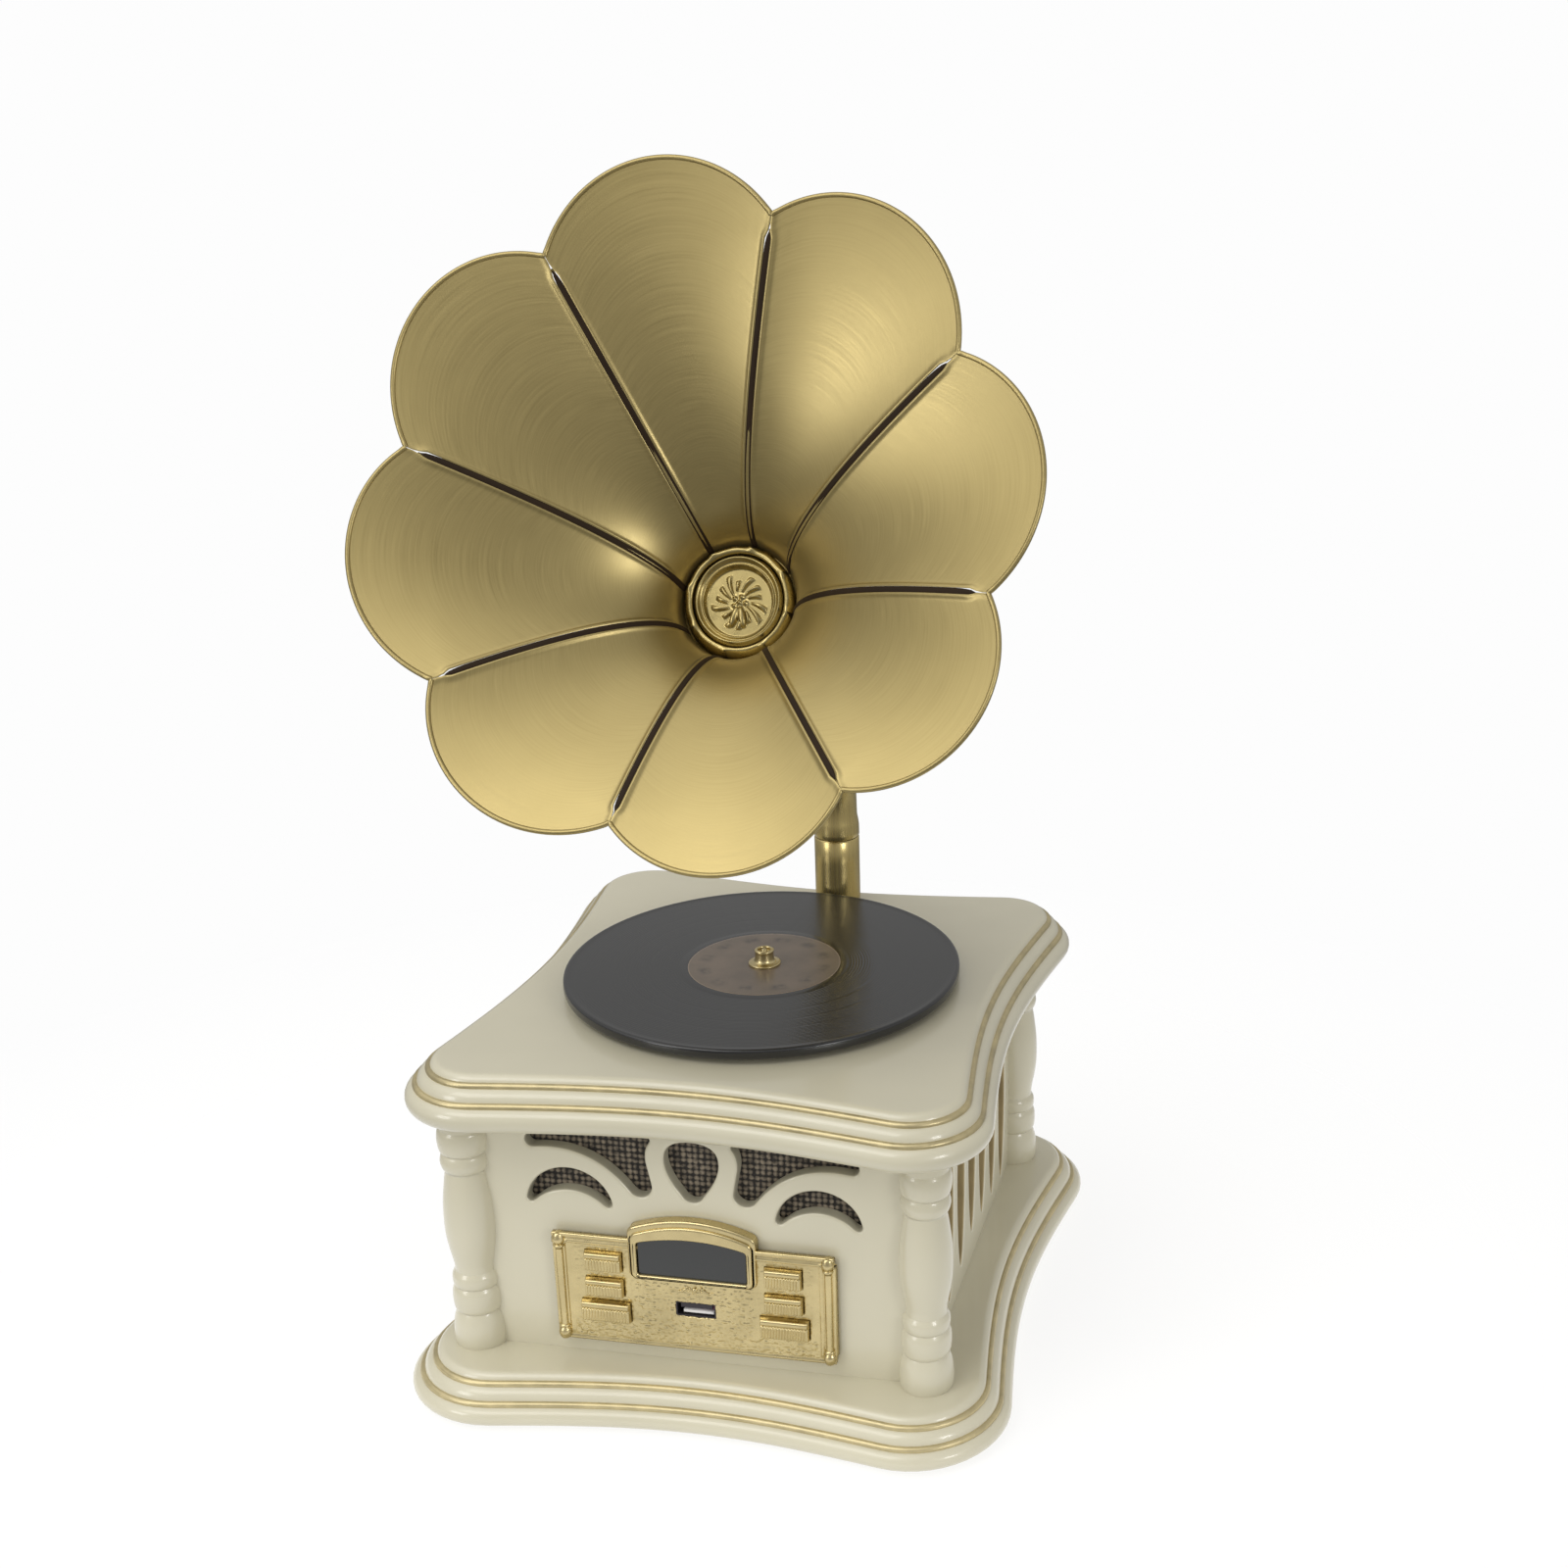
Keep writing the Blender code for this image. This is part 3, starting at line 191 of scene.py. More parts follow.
def tube(path, radius, sides, side_hint=ACROSS, flatten=1.0):
    """A circle of the given radius carried along a path, square to it. flatten squeezes it along its
    second direction. The ends close to a point."""
    path = np.asarray(path, float)
    along = unit(np.gradient(path, axis=0))
    first = unit(np.cross(along, np.broadcast_to(side_hint, along.shape)))
    second = np.cross(along, first)
    radius = np.broadcast_to(np.asarray(radius, float), len(path))
    path, first, second = (np.concatenate([row[:1], row, row[-1:]]) for row in (path, first, second))
    radius = np.concatenate([[0], radius, [0]])
    angle = np.linspace(0, 2 * pi, sides, endpoint=False)[None, :, None]
    circle = np.cos(angle) * first[:, None] + flatten * np.sin(angle) * second[:, None]
    return skin(path[:, None] + radius[:, None, None] * circle, wrap_columns=True)


def pipe(middles, axes, radii, sides, wall):
    """A tube of the given wall whose sections stand square to the axes at the middles."""
    up = unit(np.cross(axes, np.broadcast_to(ACROSS, axes.shape)))
    angle = np.linspace(0, 2 * pi, sides, endpoint=False)[None, :, None]
    circle = np.cos(angle) * ACROSS + np.sin(angle) * up[:, None]
    outer = middles[:, None] + radii[:, None, None] * circle
    inner = middles[:, None] + (radii - wall)[:, None, None] * circle
    return skin(np.concatenate([outer, inner[::-1]]), wrap_rows=True, wrap_columns=True)


def offset_loop(loop, distance):
    """Moves a closed outline to its left by the distance, mitred at each corner."""
    edge = unit(np.roll(loop, -1, 0) - loop)
    normal = np.stack([-edge[:, 1], edge[:, 0]], -1)
    previous = np.roll(normal, 1, 0)
    mitre = (normal + previous) / (1 + (normal * previous).sum(-1, keepdims=True))
    return loop + distance * mitre


def wound(loop, clockwise):
    """The outline, turned round if it doesn't run the asked way."""
    x, y = loop.T
    area = (x * np.roll(y, -1) - y * np.roll(x, -1)).sum() / 2
    return loop[::-1] if (area > 0) == clockwise else loop


def pierced_plate(outer, holes, thickness, edge, place, steps=5):
    """A plate with openings: a flat face, a quarter round of radius edge along every outline, straight
    walls and a flat back. Returns the face and back, and the rounds and walls of the openings."""
    outer = wound(np.asarray(outer, float), False)
    loops = [outer, *(wound(np.asarray(hole, float), True) for hole in holes)]
    turn = np.linspace(0, pi / 2, steps + 1)
    inset = np.concatenate([[edge * 1.25 + 0.1], edge * (1 - np.sin(turn)), [0]])
    depth = np.concatenate([[0], edge * (1 - np.cos(turn)), [thickness]])
    body, rims = [], []
    for loop in loops:
        rows = np.stack([offset_loop(loop, step) for step in inset])
        across, up = rows[..., 0], rows[..., 1]
        surface = skin(place(across, up, np.broadcast_to(depth[:, None], across.shape)), wrap_columns=True)
        (body if loop is outer else rims).append(surface)
    for step, level in ((inset[0], 0.0), (0.0, thickness)):
        moved = [offset_loop(loop, step) for loop in loops]
        flat = np.concatenate(moved)
        lines = [[Vector((x, y, 0)) for x, y in loop] for loop in moved]
        faces = np.array(tessellate_polygon(lines))
        points = place(flat[:, 0], flat[:, 1], np.full(len(flat), level))
        body.append((points, faces, flat[faces] / 100))
    return body, rims


def eased(loop, rounds=2):
    """Rounds a closed outline: every corner is cut at a quarter of its sides, as many times as asked."""
    loop = np.asarray(loop, float)
    for _ in range(rounds):
        following = np.roll(loop, -1, 0)
        loop = np.stack([0.75 * loop + 0.25 * following, 0.25 * loop + 0.75 * following], 1).reshape(-1, 2)
    return loop


def on_front(face):
    """Places (across, up, depth) on a plane that faces -Y; across counts from the body's middle."""
    return lambda across, up, depth: np.stack([across + BODY_X, face + depth, up], -1)


def on_side(face, side):
    """Places (across, up, depth) on a plane that faces away from the middle along X."""
    return lambda across, up, depth: np.stack([BODY_X + side * (face - depth), across, up], -1)


def add_piece(name, surfaces, finishes, body, slot, stands_for=(), closed=True, sharp=38, tolerance=1e-6):
    """One mesh object from (points, faces, uv) surfaces in millimetres. finishes is one material, or one
    for each surface."""
    single = not isinstance(finishes, (list, tuple))
    materials = [finishes] if single else list(dict.fromkeys(finishes))
    points, faces, places, marks, start = [], [], [], [], 0
    for number, (surface_points, surface_faces, surface_places) in enumerate(surfaces):
        points.append(surface_points * MM)
        faces += (surface_faces + start).tolist()
        places.append(surface_places.reshape(-1, 2))
        index = 0 if single else materials.index(finishes[number])
        marks.append(np.full(len(surface_faces), index))
        start += len(surface_points)
    mesh = bpy.data.meshes.new(name)
    mesh.from_pydata(np.concatenate(points), [], faces)
    layer = mesh.uv_layers.new(name="grain")
    layer.data.foreach_set("uv", np.concatenate(places).ravel())
    for finish in materials:
        mesh.materials.append(finish)
    mesh.polygons.foreach_set("material_index", np.concatenate(marks))
    work = bmesh.new()
    work.from_mesh(mesh)
    bmesh.ops.remove_doubles(work, verts=work.verts, dist=tolerance)
    if closed:
        bmesh.ops.recalc_face_normals(work, faces=work.faces)
    work.to_mesh(mesh)
    work.free()
    mesh.shade_smooth()
    mesh.set_sharp_from_angle(angle=radians(sharp))
    piece = bpy.data.objects.new(name, mesh)
    bpy.context.scene.collection.objects.link(piece)
    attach(piece, body)
    if stands_for:
        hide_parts(*stands_for)
    return piece


def refinish(names, finish):
    """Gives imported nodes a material."""
    for name in names:
        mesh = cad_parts[name].data
        mesh.materials.clear()
        mesh.materials.append(finish)


# ---------------------------------------------------------------- finishes

TEXTURE_DEPTH = 0.0002  # metres
SOCKETS = {"colour": "Base Color", "roughness": "Roughness", "relief": "Normal", "tangent": "Tangent",
           "alpha": "Alpha"}


def node(tree, kind, inputs=(), **settings):
    """Adds a shader node; inputs gives each socket's value or the output that feeds it."""
    made = tree.nodes.new("ShaderNode" + kind)
    for key, value in settings.items():
        setattr(made, key, value)
    for key, value in dict(inputs).items():
        if isinstance(value, bpy.types.NodeSocket):
            tree.links.new(value, made.inputs[key])
        else:
            made.inputs[key].default_value = value
    return made


def start_finish(name, colour, roughness, metallic=0.0, sockets=()):
    """A material with its plain numbers set on the shader's own sockets. Returns it, its tree and shader."""
    made = bpy.data.materials.new(name)
    made.use_nodes = True
    tree = made.node_tree
    shader = tree.nodes["Principled BSDF"]
    values = {"Base Color": (*colour, 1), "Roughness": roughness, "Metallic": metallic, **dict(sockets)}
    for key, value in values.items():
        shader.inputs[key].default_value = value
    return made, tree, shader


def position(tree, scale=(1, 1, 1), source="Object"):
    """Object or UV coordinates, scaled."""
    place = node(tree, "TexCoord").outputs[source]
    return node(tree, "Mapping", {"Vector": place, "Scale": scale}).outputs["Vector"]


def noise(tree, vector, scale, detail=3.0, roughness=0.55):
    inputs = {"Vector": vector, "Scale": scale, "Detail": detail, "Roughness": roughness}
    return node(tree, "TexNoise", inputs).outputs["Fac"]


def blend_colours(tree, factor, low, high, start=0.3, end=0.7):
    """From one colour to another as the factor passes from start to end."""
    ramp = node(tree, "ValToRGB", {"Fac": factor})
    ramp.color_ramp.elements[0].position = start
    ramp.color_ramp.elements[1].position = end
    ramp.color_ramp.elements[0].color = (*low, 1)
    ramp.color_ramp.elements[1].color = (*high, 1)
    return ramp.outputs["Color"]


def ranged(tree, factor, low, high, start=0.3, end=0.7):
    inputs = {"Value": factor, "From Min": start, "From Max": end, "To Min": low, "To Max": high}
    return node(tree, "MapRange", inputs).outputs["Result"]


def bump(tree, height, strength, distance=TEXTURE_DEPTH):
    inputs = {"Height": height, "Strength": strength, "Distance": distance}
    return node(tree, "Bump", inputs).outputs["Normal"]


def maths(tree, operation, first, second=0.0, third=0.0):
    inputs = {0: first, 1: second, 2: third}
    return node(tree, "Math", inputs, operation=operation).outputs[0]


def shade(colour, factor):
    """The colour made darker or lighter by the factor."""
    return tuple(min(1.0, c * factor) for c in colour)


def feed(tree, shader, **outputs):
    """Joins outputs to the shader's colour, roughness, relief, tangent or alpha."""
    for key, output in outputs.items():
        tree.links.new(output, shader.inputs[SOCKETS[key]])


def shine_along_grain(tree, shader):
    """Stretches the shine square to the UV's first direction."""
    tangent = node(tree, "Tangent", direction_type="UV_MAP", uv_map="grain").outputs["Tangent"]
    feed(tree, shader, tangent=tangent)


def mottled(name, colour, roughness, metallic, tone, shine, texture, sockets=()):
    """A finish whose tone and shine drift over a fine texture. tone is (noise scale, detail, darkest and
    lightest share of the colour), shine is (noise scale, detail, lowest and highest roughness) and texture
    is (noise scale, detail, strength)."""
    made, tree, shader = start_finish(name, colour, roughness, metallic, sockets)
    place = position(tree)
    drift = noise(tree, place, *tone[:2])
    feed(tree, shader,
         colour=blend_colours(tree, drift, shade(colour, tone[2]), shade(colour, tone[3])),
         roughness=ranged(tree, noise(tree, place, *shine[:2]), *shine[2:]),
         relief=bump(tree, noise(tree, place, *texture[:2]), texture[2]))
    return made


def lacquer(colour):
    """Satin lacquer: faint clouding and the fine ripple of a sprayed coat."""
    return mottled("cream_lacquer_coat", colour, 0.34, 0.0, (22.0, 2.0, 0.965, 1.02), (60.0, 3.0, 0.30, 0.40),
                   (420.0, 2.0, 0.10), {"Coat Weight": 0.6, "Coat Roughness": 0.11})


def gold_paint(colour):
    """Gold paint brushed along the mouldings, thinner in places."""
    return mottled("gold_line_paint", colour, 0.38, 0.75, (130.0, 4.0, 0.80, 1.12), (130.0, 4.0, 0.32, 0.46),
                   (800.0, 3.0, 0.25))


def brushed_brass(name, colour, dark, roughness, grain, anisotropy):
    """Brass brushed along u: long fine scratches, and a slow drift towards a darker patina."""
    sockets = {"Anisotropic": anisotropy, "Coat Weight": 0.10, "Coat Roughness": 0.25}
    made, tree, shader = start_finish(name, colour, roughness, 0.88, sockets)
    scratch = noise(tree, position(tree, grain, source="UV"), 1.0, 3.0, 0.7)
    patina = noise(tree, position(tree), 17.0, 3.0)
    mixed = maths(tree, "MULTIPLY_ADD", scratch, 0.5, maths(tree, "MULTIPLY", patina, 0.5))
    feed(tree, shader,
         colour=blend_colours(tree, mixed, dark, colour, 0.30, 0.66),
         roughness=ranged(tree, scratch, roughness - 0.04, roughness + 0.05),
         relief=bump(tree, scratch, 0.07, TEXTURE_DEPTH / 2))
    shine_along_grain(tree, shader)
    return made


def gilt(name, colour, roughness=0.27):
    """Polished gold plate with small cast unevenness."""
    return mottled(name, colour, roughness, 1.0, (70.0, 3.0, 0.86, 1.08),
                   (260.0, 3.0, roughness - 0.05, roughness + 0.09), (700.0, 1.0, 0.02))


def vinyl(colour):
    """Pressed vinyl: rings of groove too fine to see singly, which stretch the shine across them."""
    made, tree, shader = start_finish(
        "record_vinyl_grooves", colour, 0.22, 0.0,
        {"Anisotropic": 0.8, "Specular IOR Level": 0.5, "Coat Weight": 0.25, "Coat Roughness": 0.07},
    )
    parts = node(tree, "SeparateXYZ", {"Vector": position(tree, source="UV")})
    band = noise(tree, node(tree, "CombineXYZ", {"X": parts.outputs["Y"]}).outputs[0], 55.0, 4.0, 0.7)
    feed(tree, shader,
         colour=blend_colours(tree, band, shade(colour, 0.8), shade(colour, 1.5)),
         roughness=ranged(tree, band, 0.17, 0.27),
         relief=bump(tree, band, 0.05))
    shine_along_grain(tree, shader)
    return made


def label_paper(colour):
    """A printed paper label: a thin border ring and twelve soft faded marks round the middle."""
    made, tree, shader = start_finish(
        "record_label_paper", colour, 0.38, 0.0, {"Coat Weight": 0.3, "Coat Roughness": 0.2}
    )
    parts = node(tree, "SeparateXYZ", {"Vector": position(tree, source="UV")})
    around, outward = parts.outputs["X"], parts.outputs["Y"]
    turn = maths(tree, "PINGPONG", maths(tree, "MULTIPLY", around, 24.0), 1.0)
    spot = maths(tree, "SUBTRACT", 1.0, turn)
    reach = maths(tree, "ABSOLUTE", maths(tree, "SUBTRACT", outward, 0.72))
    window = ranged(tree, reach, 1.0, 0.0, 0.03, 0.12)
    speck = ranged(tree, noise(tree, position(tree), 330.0, 3.0), 0.1, 1.0, 0.38, 0.62)
    blot = maths(tree, "MULTIPLY", ranged(tree, spot, 0.0, 1.0, 0.35, 0.75), window)
    mark = maths(tree, "MULTIPLY", blot, speck)
    from_ring = maths(tree, "ABSOLUTE", maths(tree, "SUBTRACT", outward, 0.93))
    ring = ranged(tree, from_ring, 1.0, 0.0, 0.006, 0.014)
    faded = blend_colours(tree, noise(tree, position(tree), 90.0), shade(colour, 0.82), shade(colour, 1.15))
    ink = (*shade(colour, 0.25), 1)
    marked = node(tree, "MixRGB", {0: maths(tree, "MULTIPLY", mark, 0.7), 1: faded, 2: ink})
    ringed = node(tree, "MixRGB", {0: ring, 1: marked.outputs[0], 2: (*shade(colour, 2.1), 1)})
    grain = noise(tree, position(tree), 1500.0)
    feed(tree, shader, colour=ringed.outputs[0], relief=bump(tree, grain, 0.1, TEXTURE_DEPTH / 2))
    return made


def weave(colour, crown_highlight):
    """Coarse dark cloth: the crowns of its threads, marked in the UV's second number, are painted lighter, a
    painted highlight on the crowns that leaves the low gaps in painted shade; a slow noise varies it.
    """
    made, tree, shader = start_finish(
        "grille_weave", colour, 0.8, 0.0, {"Sheen Weight": 0.2, "Sheen Roughness": 0.4}
    )
    place = position(tree)
    crown = node(tree, "SeparateXYZ", {"Vector": position(tree, source="UV")}).outputs["Y"]
    fibre = noise(tree, place, 1500.0, 3.0, 0.7)
    # Lighter with each point's height above the cloth's ground: painted highlight on the crowns, painted
    # shade in the gaps.
    lit_crowns = maths(tree, "MULTIPLY", crown, ranged(tree, noise(tree, place, 420.0, 2.0), 0.62, 1.15))
    tone = blend_colours(tree, lit_crowns, colour, crown_highlight, 0.52, 0.98)
    feed(tree, shader, colour=tone, relief=bump(tree, fibre, 0.4))
    return made


def plain_finish(name, colour, roughness, metallic=0.0, scale=300.0, depth=0.15, sockets=()):
    """A moulded or sheet-metal finish: slight tone drift, uneven shine and a fine texture."""
    drift = (scale * 0.25, 2.0)
    return mottled(name, colour, roughness, metallic, (*drift, 0.85, 1.15),
                   (*drift, roughness - 0.04, roughness + 0.05), (scale, 3.0, depth), sockets)


def paper_floor(colour):
    """Bright paper under the object that thins away to nothing towards its edge."""
    made, tree, shader = start_finish(
        "floor_paper", shade(colour, 0.26), 1.0, 0.0,
        {"Specular IOR Level": 0.0, "Emission Color": (1, 1, 1, 1), "Emission Strength": 0.80},
    )
    far = node(tree, "VectorMath", {0: position(tree)}, operation="LENGTH").outputs["Value"]
    feed(tree, shader, alpha=ranged(tree, far, 1.0, 0.0, 0.20, 0.42))
    return made


def display_pane(colour):
    """A smoked pane that is a little lighter towards its foot."""
    made, tree, shader = start_finish(
        "display_pane", colour, 0.16, 0.0, {"Coat Weight": 0.4, "Coat Roughness": 0.05}
    )
    parts = node(tree, "SeparateXYZ", {"Vector": position(tree)})
    low = ranged(tree, parts.outputs["Z"], 0.0, 1.0, 0.048, 0.066)
    tone = blend_colours(tree, low, shade(colour, 1.15), shade(colour, 0.85), 0.0, 1.0)
    feed(tree, shader, colour=tone, relief=bump(tree, noise(tree, position(tree), 60.0), 0.03))
    return made


# ---------------------------------------------------------------- settings


def length(name, text, default, low=0.0, high=1.0):
    return FloatProperty(name=name, description=text, default=default, min=low, max=high,
                         precision=5, unit="LENGTH", subtype="DISTANCE")


def power(name, text, default):
    return FloatProperty(name=name, description=text, default=default, min=0, unit="POWER")


def colour(name, text, default):
    return FloatVectorProperty(name=name, description=text, default=default, size=3, min=0, max=1,
                               subtype="COLOR")


class CaseSettings(bpy.types.PropertyGroup):
    """The lacquered case."""

    lacquer: colour("Lacquer", "Colour of the lacquered case", (0.610, 0.572, 0.432))
    line: colour("Gold lines", "Colour of the painted mouldings", (0.560, 0.475, 0.270))
    line_radius: length("Line radius", "Radius of the gold beads on the edges", 0.0013, 0.0002, 0.003)
    rim_round: length("Rim round", "Rounding of the openings' rims", 0.0011, 0.0002, 0.003)
    cloth: colour("Grille cloth", "Colour of the grille cloth", (0.014, 0.011, 0.008))
    # The colour painted on the raised thread crowns: a painted highlight.
    crown_highlight: colour("Cloth fleck", "Colour of the raised threads", (0.270, 0.222, 0.160))
    thread_pitch: length("Thread pitch", "Distance between the cloth's threads", 0.0021, 0.0005, 0.01)


class PanelSettings(bpy.types.PropertyGroup):
    """The gilt control panel."""

    gilt: colour("Gilt", "Colour of the gold plate", (0.600, 0.495, 0.262))
    pane: colour("Display", "Colour of the display pane", (0.014, 0.0155, 0.0155))
    flute_pitch: length("Flute pitch", "Distance between the flutes on the keys", 0.00105, 0.0003, 0.005)
    pebble: length("Pebble size", "Size of the hammered ground's pebbles", 0.00125, 0.0004, 0.005)


class TurntableSettings(bpy.types.PropertyGroup):
    """The record and its label."""

    vinyl: colour("Vinyl", "Colour of the record", (0.012, 0.012, 0.0123))
    label: colour("Label", "Colour of the paper label", (0.150, 0.112, 0.078))
    label_radius: length("Label radius", "Radius of the paper label", 0.0270, 0.01, 0.06)


class HornSettings(bpy.types.PropertyGroup):
    """The brass horn."""

    brass: colour("Brass", "Colour of the brushed brass", (0.405, 0.322, 0.138))
    patina: colour("Patina", "Colour of the darker brass", (0.315, 0.247, 0.100))
    # The seams' dark fill, partly painted shade in the groove between the petals.
    seam: colour("Seam", "Colour of the dark seams", (0.022, 0.012, 0.005))
    seam_half: length("Seam half width", "Half the width of the dark seam", 0.00095, 0.0002, 0.003)
    lip: length("Lip height", "Height of the lips beside each seam", 0.00035, 0.0, 0.002)
    rim_radius: length("Rim radius", "Radius of the rolled edge", 0.00085, 0.0003, 0.003)
    divisions: IntProperty(
        name="Divisions", description="Steps along and across a petal", default=72, min=12, max=160
    )


class StageSettings(bpy.types.PropertyGroup):
    """Floor, lights and camera."""

    floor: colour("Floor", "Colour of the floor", (0.900, 0.895, 0.880))
    key_power: power("Key light", "Power of the main light", 3.6)
    fill_power: power("Low card", "Power of the low front light", 2.2)
    side_power: power("Side light", "Power of the light on the right", 2.8)
    sky: FloatProperty(name="Surroundings", description="Brightness of the room", default=1.0, min=0)


class GramophoneSettings(bpy.types.PropertyGroup):
    """All settings."""

    case: PointerProperty(type=CaseSettings)
    panel: PointerProperty(type=PanelSettings)
    turntable: PointerProperty(type=TurntableSettings)
    horn: PointerProperty(type=HornSettings)
    stage: PointerProperty(type=StageSettings)


def settings():
    return bpy.context.scene.gramophone


def shared(name, maker, *values):
    """The material of this name, made on first use."""
    return bpy.data.materials.get(name) or maker(*values)


def cream():
    return shared("cream_lacquer_coat", lacquer, settings().case.lacquer)


def gold_line():
    return shared("gold_line_paint", gold_paint, settings().case.line)


def gold_plate():
    return shared("gold_plate", gilt, "gold_plate", settings().panel.gilt)


def brass(name, bright, *values):
    """The horn's brass, its two colours made brighter by the factor; a factor above one makes a lit copy,
    painted light.
    """
    horn = settings().horn
    return shared(name, brushed_brass, name, shade(horn.brass, bright), shade(horn.patina, bright), *values)


def petal_brass():
    return brass("petal_brass", 1.0, 0.37, (3, 240, 1), 0.25)


# The horn's brass made 1.5 times brighter for the post, elbow and neck: painted light on a copy of one
# material.
def tube_brass():
    return brass("tube_brass", 1.5, 0.27, (60, 3, 1), 0.2)


def plain(name, *values):
    return shared(name, plain_finish, name, *values)


def gilt_piece(name, surfaces, stands_for=(), body="case", **options):
    return add_piece(name, surfaces, gold_plate(), body, "gilt_casting", stands_for, **options)


# ---------------------------------------------------------------- case


SIDE_STEPS, CORNER_STEPS = 30, 14


def quarter_turn(quarter):
    """The matrix that turns rows of (x, y) by this many right angles."""
    turn = quarter * pi / 2
    return np.array(((cos(turn), sin(turn)), (-sin(turn), cos(turn))))


def raised(loop, height):
    """A flat outline as points at this height."""
    return np.column_stack([loop, np.full(len(loop), height)])


def case_outline(edge, grow):
    """The case's outline: each side curves in as half a cosine wave, and each corner is an arc that is
    tangent to both sides. grow moves the outline outwards."""
    half_x, half_y, sweep, corner = edge
    quarters = []
    for quarter in range(4):
        reach, across = half_x - corner, half_y - corner
        if quarter % 2:
            reach, across = across, reach
        lean = sweep * pi / (2 * across)
        flat = across - (corner + grow) * sin(lean)
        edge_line = reach + (corner + grow) * cos(lean)
        t = np.linspace(-flat, flat, SIDE_STEPS + 1)
        side_points = np.stack([edge_line - sweep * np.cos(pi * t / (2 * flat)), t], -1)
        angle = -lean + (pi / 2 + 2 * lean) * np.arange(1, CORNER_STEPS) / CORNER_STEPS
        centre = np.array((reach, across))
        arc_points = centre + (corner + grow) * np.stack([np.cos(angle), np.sin(angle)], -1)
        quarters.append(np.concatenate([side_points, arc_points]) @ quarter_turn(quarter))
    return np.concatenate(quarters)


def rings(edge, marks):
    """The outline at each (growth, height) mark, as an array of rings."""
    return np.stack([raised(case_outline(edge, grow), height) for grow, height in marks])


def edge_marks(top, base):
    """(growth, height) down the stepped edge: quarter ellipse, gold line, quarter ellipse, gold line,
    half ellipse."""
    quarter = np.linspace(0, pi / 2, 9)
    upper, lower = top - LINE_DROP, top - LINE_DROP - BAND_DROP
    nose = (lower - base) / 2
    marks = [(-EDGE_ROUND - 0.8, top)]
    marks += [(-EDGE_ROUND * (1 - sin(a)), upper + LINE_DROP * cos(a)) for a in quarter]
    marks += [(BAND_OUT * sin(a), lower + BAND_DROP * cos(a)) for a in quarter]
    half = np.linspace(pi / 2, -pi / 2, 17)
    marks += [(BAND_OUT + NOSE_OUT * cos(a), base + nose + nose * sin(a)) for a in half]
    marks.append((BAND_OUT - 0.8, base))
    return marks


def closing_rings(ring, shares):
    """Copies of a flat ring drawn in towards the middle by each share, the last one a point."""
    middle = np.array((0, 0, ring[0, 2]))
    return np.stack([middle + share * (ring - middle) for share in shares])


def rectangle_ring(half_x, half_y, height):
    """A rectangle with as many points as the case's outline, its corners opposite the outline's."""
    count = SIDE_STEPS + CORNER_STEPS
    t = (np.arange(count) + CORNER_STEPS // 2) / count * 2 - 1
    sides = []
    for quarter in range(4):
        reach, across = (half_y, half_x) if quarter % 2 else (half_x, half_y)
        side = np.stack([np.full(count, reach), across * t], -1)
        following = np.stack([reach * (1 - (t - 1)), np.full(count, across)], -1)
        sides.append(np.where((t > 1)[:, None], following, side) @ quarter_turn(quarter))
    return raised(np.concatenate(sides), height)


def gold_bead(edge, top, level, grow, radius, sides=12):
    """A bead that follows the outline: a circle of (growth, height) carried round it."""
    angle = np.linspace(0, 2 * pi, sides, endpoint=False)
    marks = np.stack([grow + radius * np.cos(angle), top - level + radius * np.sin(angle)], -1)
    return skin(rings(edge, marks), wrap_rows=True, wrap_columns=True)


class GRAMOPHONE_OT_lid(bpy.types.Operator):
    """Makes the lid with its stepped edge and two gold lines"""

    bl_idname = "gramophone.lid"
    bl_label = "Lid"

    def execute(self, context):
        loops = rings(LID_EDGE, edge_marks(LID_TOP, LID_BASE))
        shares = (0.97, 0.8, 0.5, 0.2, 0)
        whole = [closing_rings(loops[0], shares)[::-1], loops, closing_rings(loops[-1], shares)]
        add_piece("lid_moulding", [skin(np.concatenate(whole), wrap_columns=True)], cream(), "case",
                  "cream_lacquer", ["lid"])
        add_gold_lines("lid", LID_EDGE, LID_TOP)
        return {"FINISHED"}


def add_gold_lines(name, edge, top):
    radius = settings().case.line_radius / MM
    for place, drop, grow in (("upper", LINE_DROP, 0.0), ("lower", LINE_DROP + BAND_DROP, BAND_OUT)):
        bead = gold_bead(edge, top, drop - 0.15, grow + 0.1, radius)
        add_piece(f"{name}_{place}_line", [bead], gold_line(), "case", "gilt_casting")


class GRAMOPHONE_OT_plinth(bpy.types.Operator):
    """Makes the plinth, open underneath, with its stepped edge and two gold lines"""

    bl_idname = "gramophone.plinth"
    bl_label = "Plinth"

    def execute(self, context):
        loops = rings(PLINTH_EDGE, edge_marks(PLINTH_TOP, PLINTH_BASE))
        cover_top = box_mm("bottom_cover")[0][2] + 2.8
        rebate, opening = (68, 66), (62, 60)
        inner = [rectangle_ring(*rebate, PLINTH_BASE), rectangle_ring(*rebate, cover_top)]
        inner += [rectangle_ring(*opening, cover_top), rectangle_ring(*opening, PLINTH_TOP)]
        whole = np.concatenate([loops, np.stack(inner)])
        add_piece("plinth_moulding", [skin(whole, wrap_rows=True, wrap_columns=True)], cream(), "case",
                  "cream_lacquer", ["plinth"])
        add_gold_lines("plinth", PLINTH_EDGE, PLINTH_TOP)
        return {"FINISHED"}


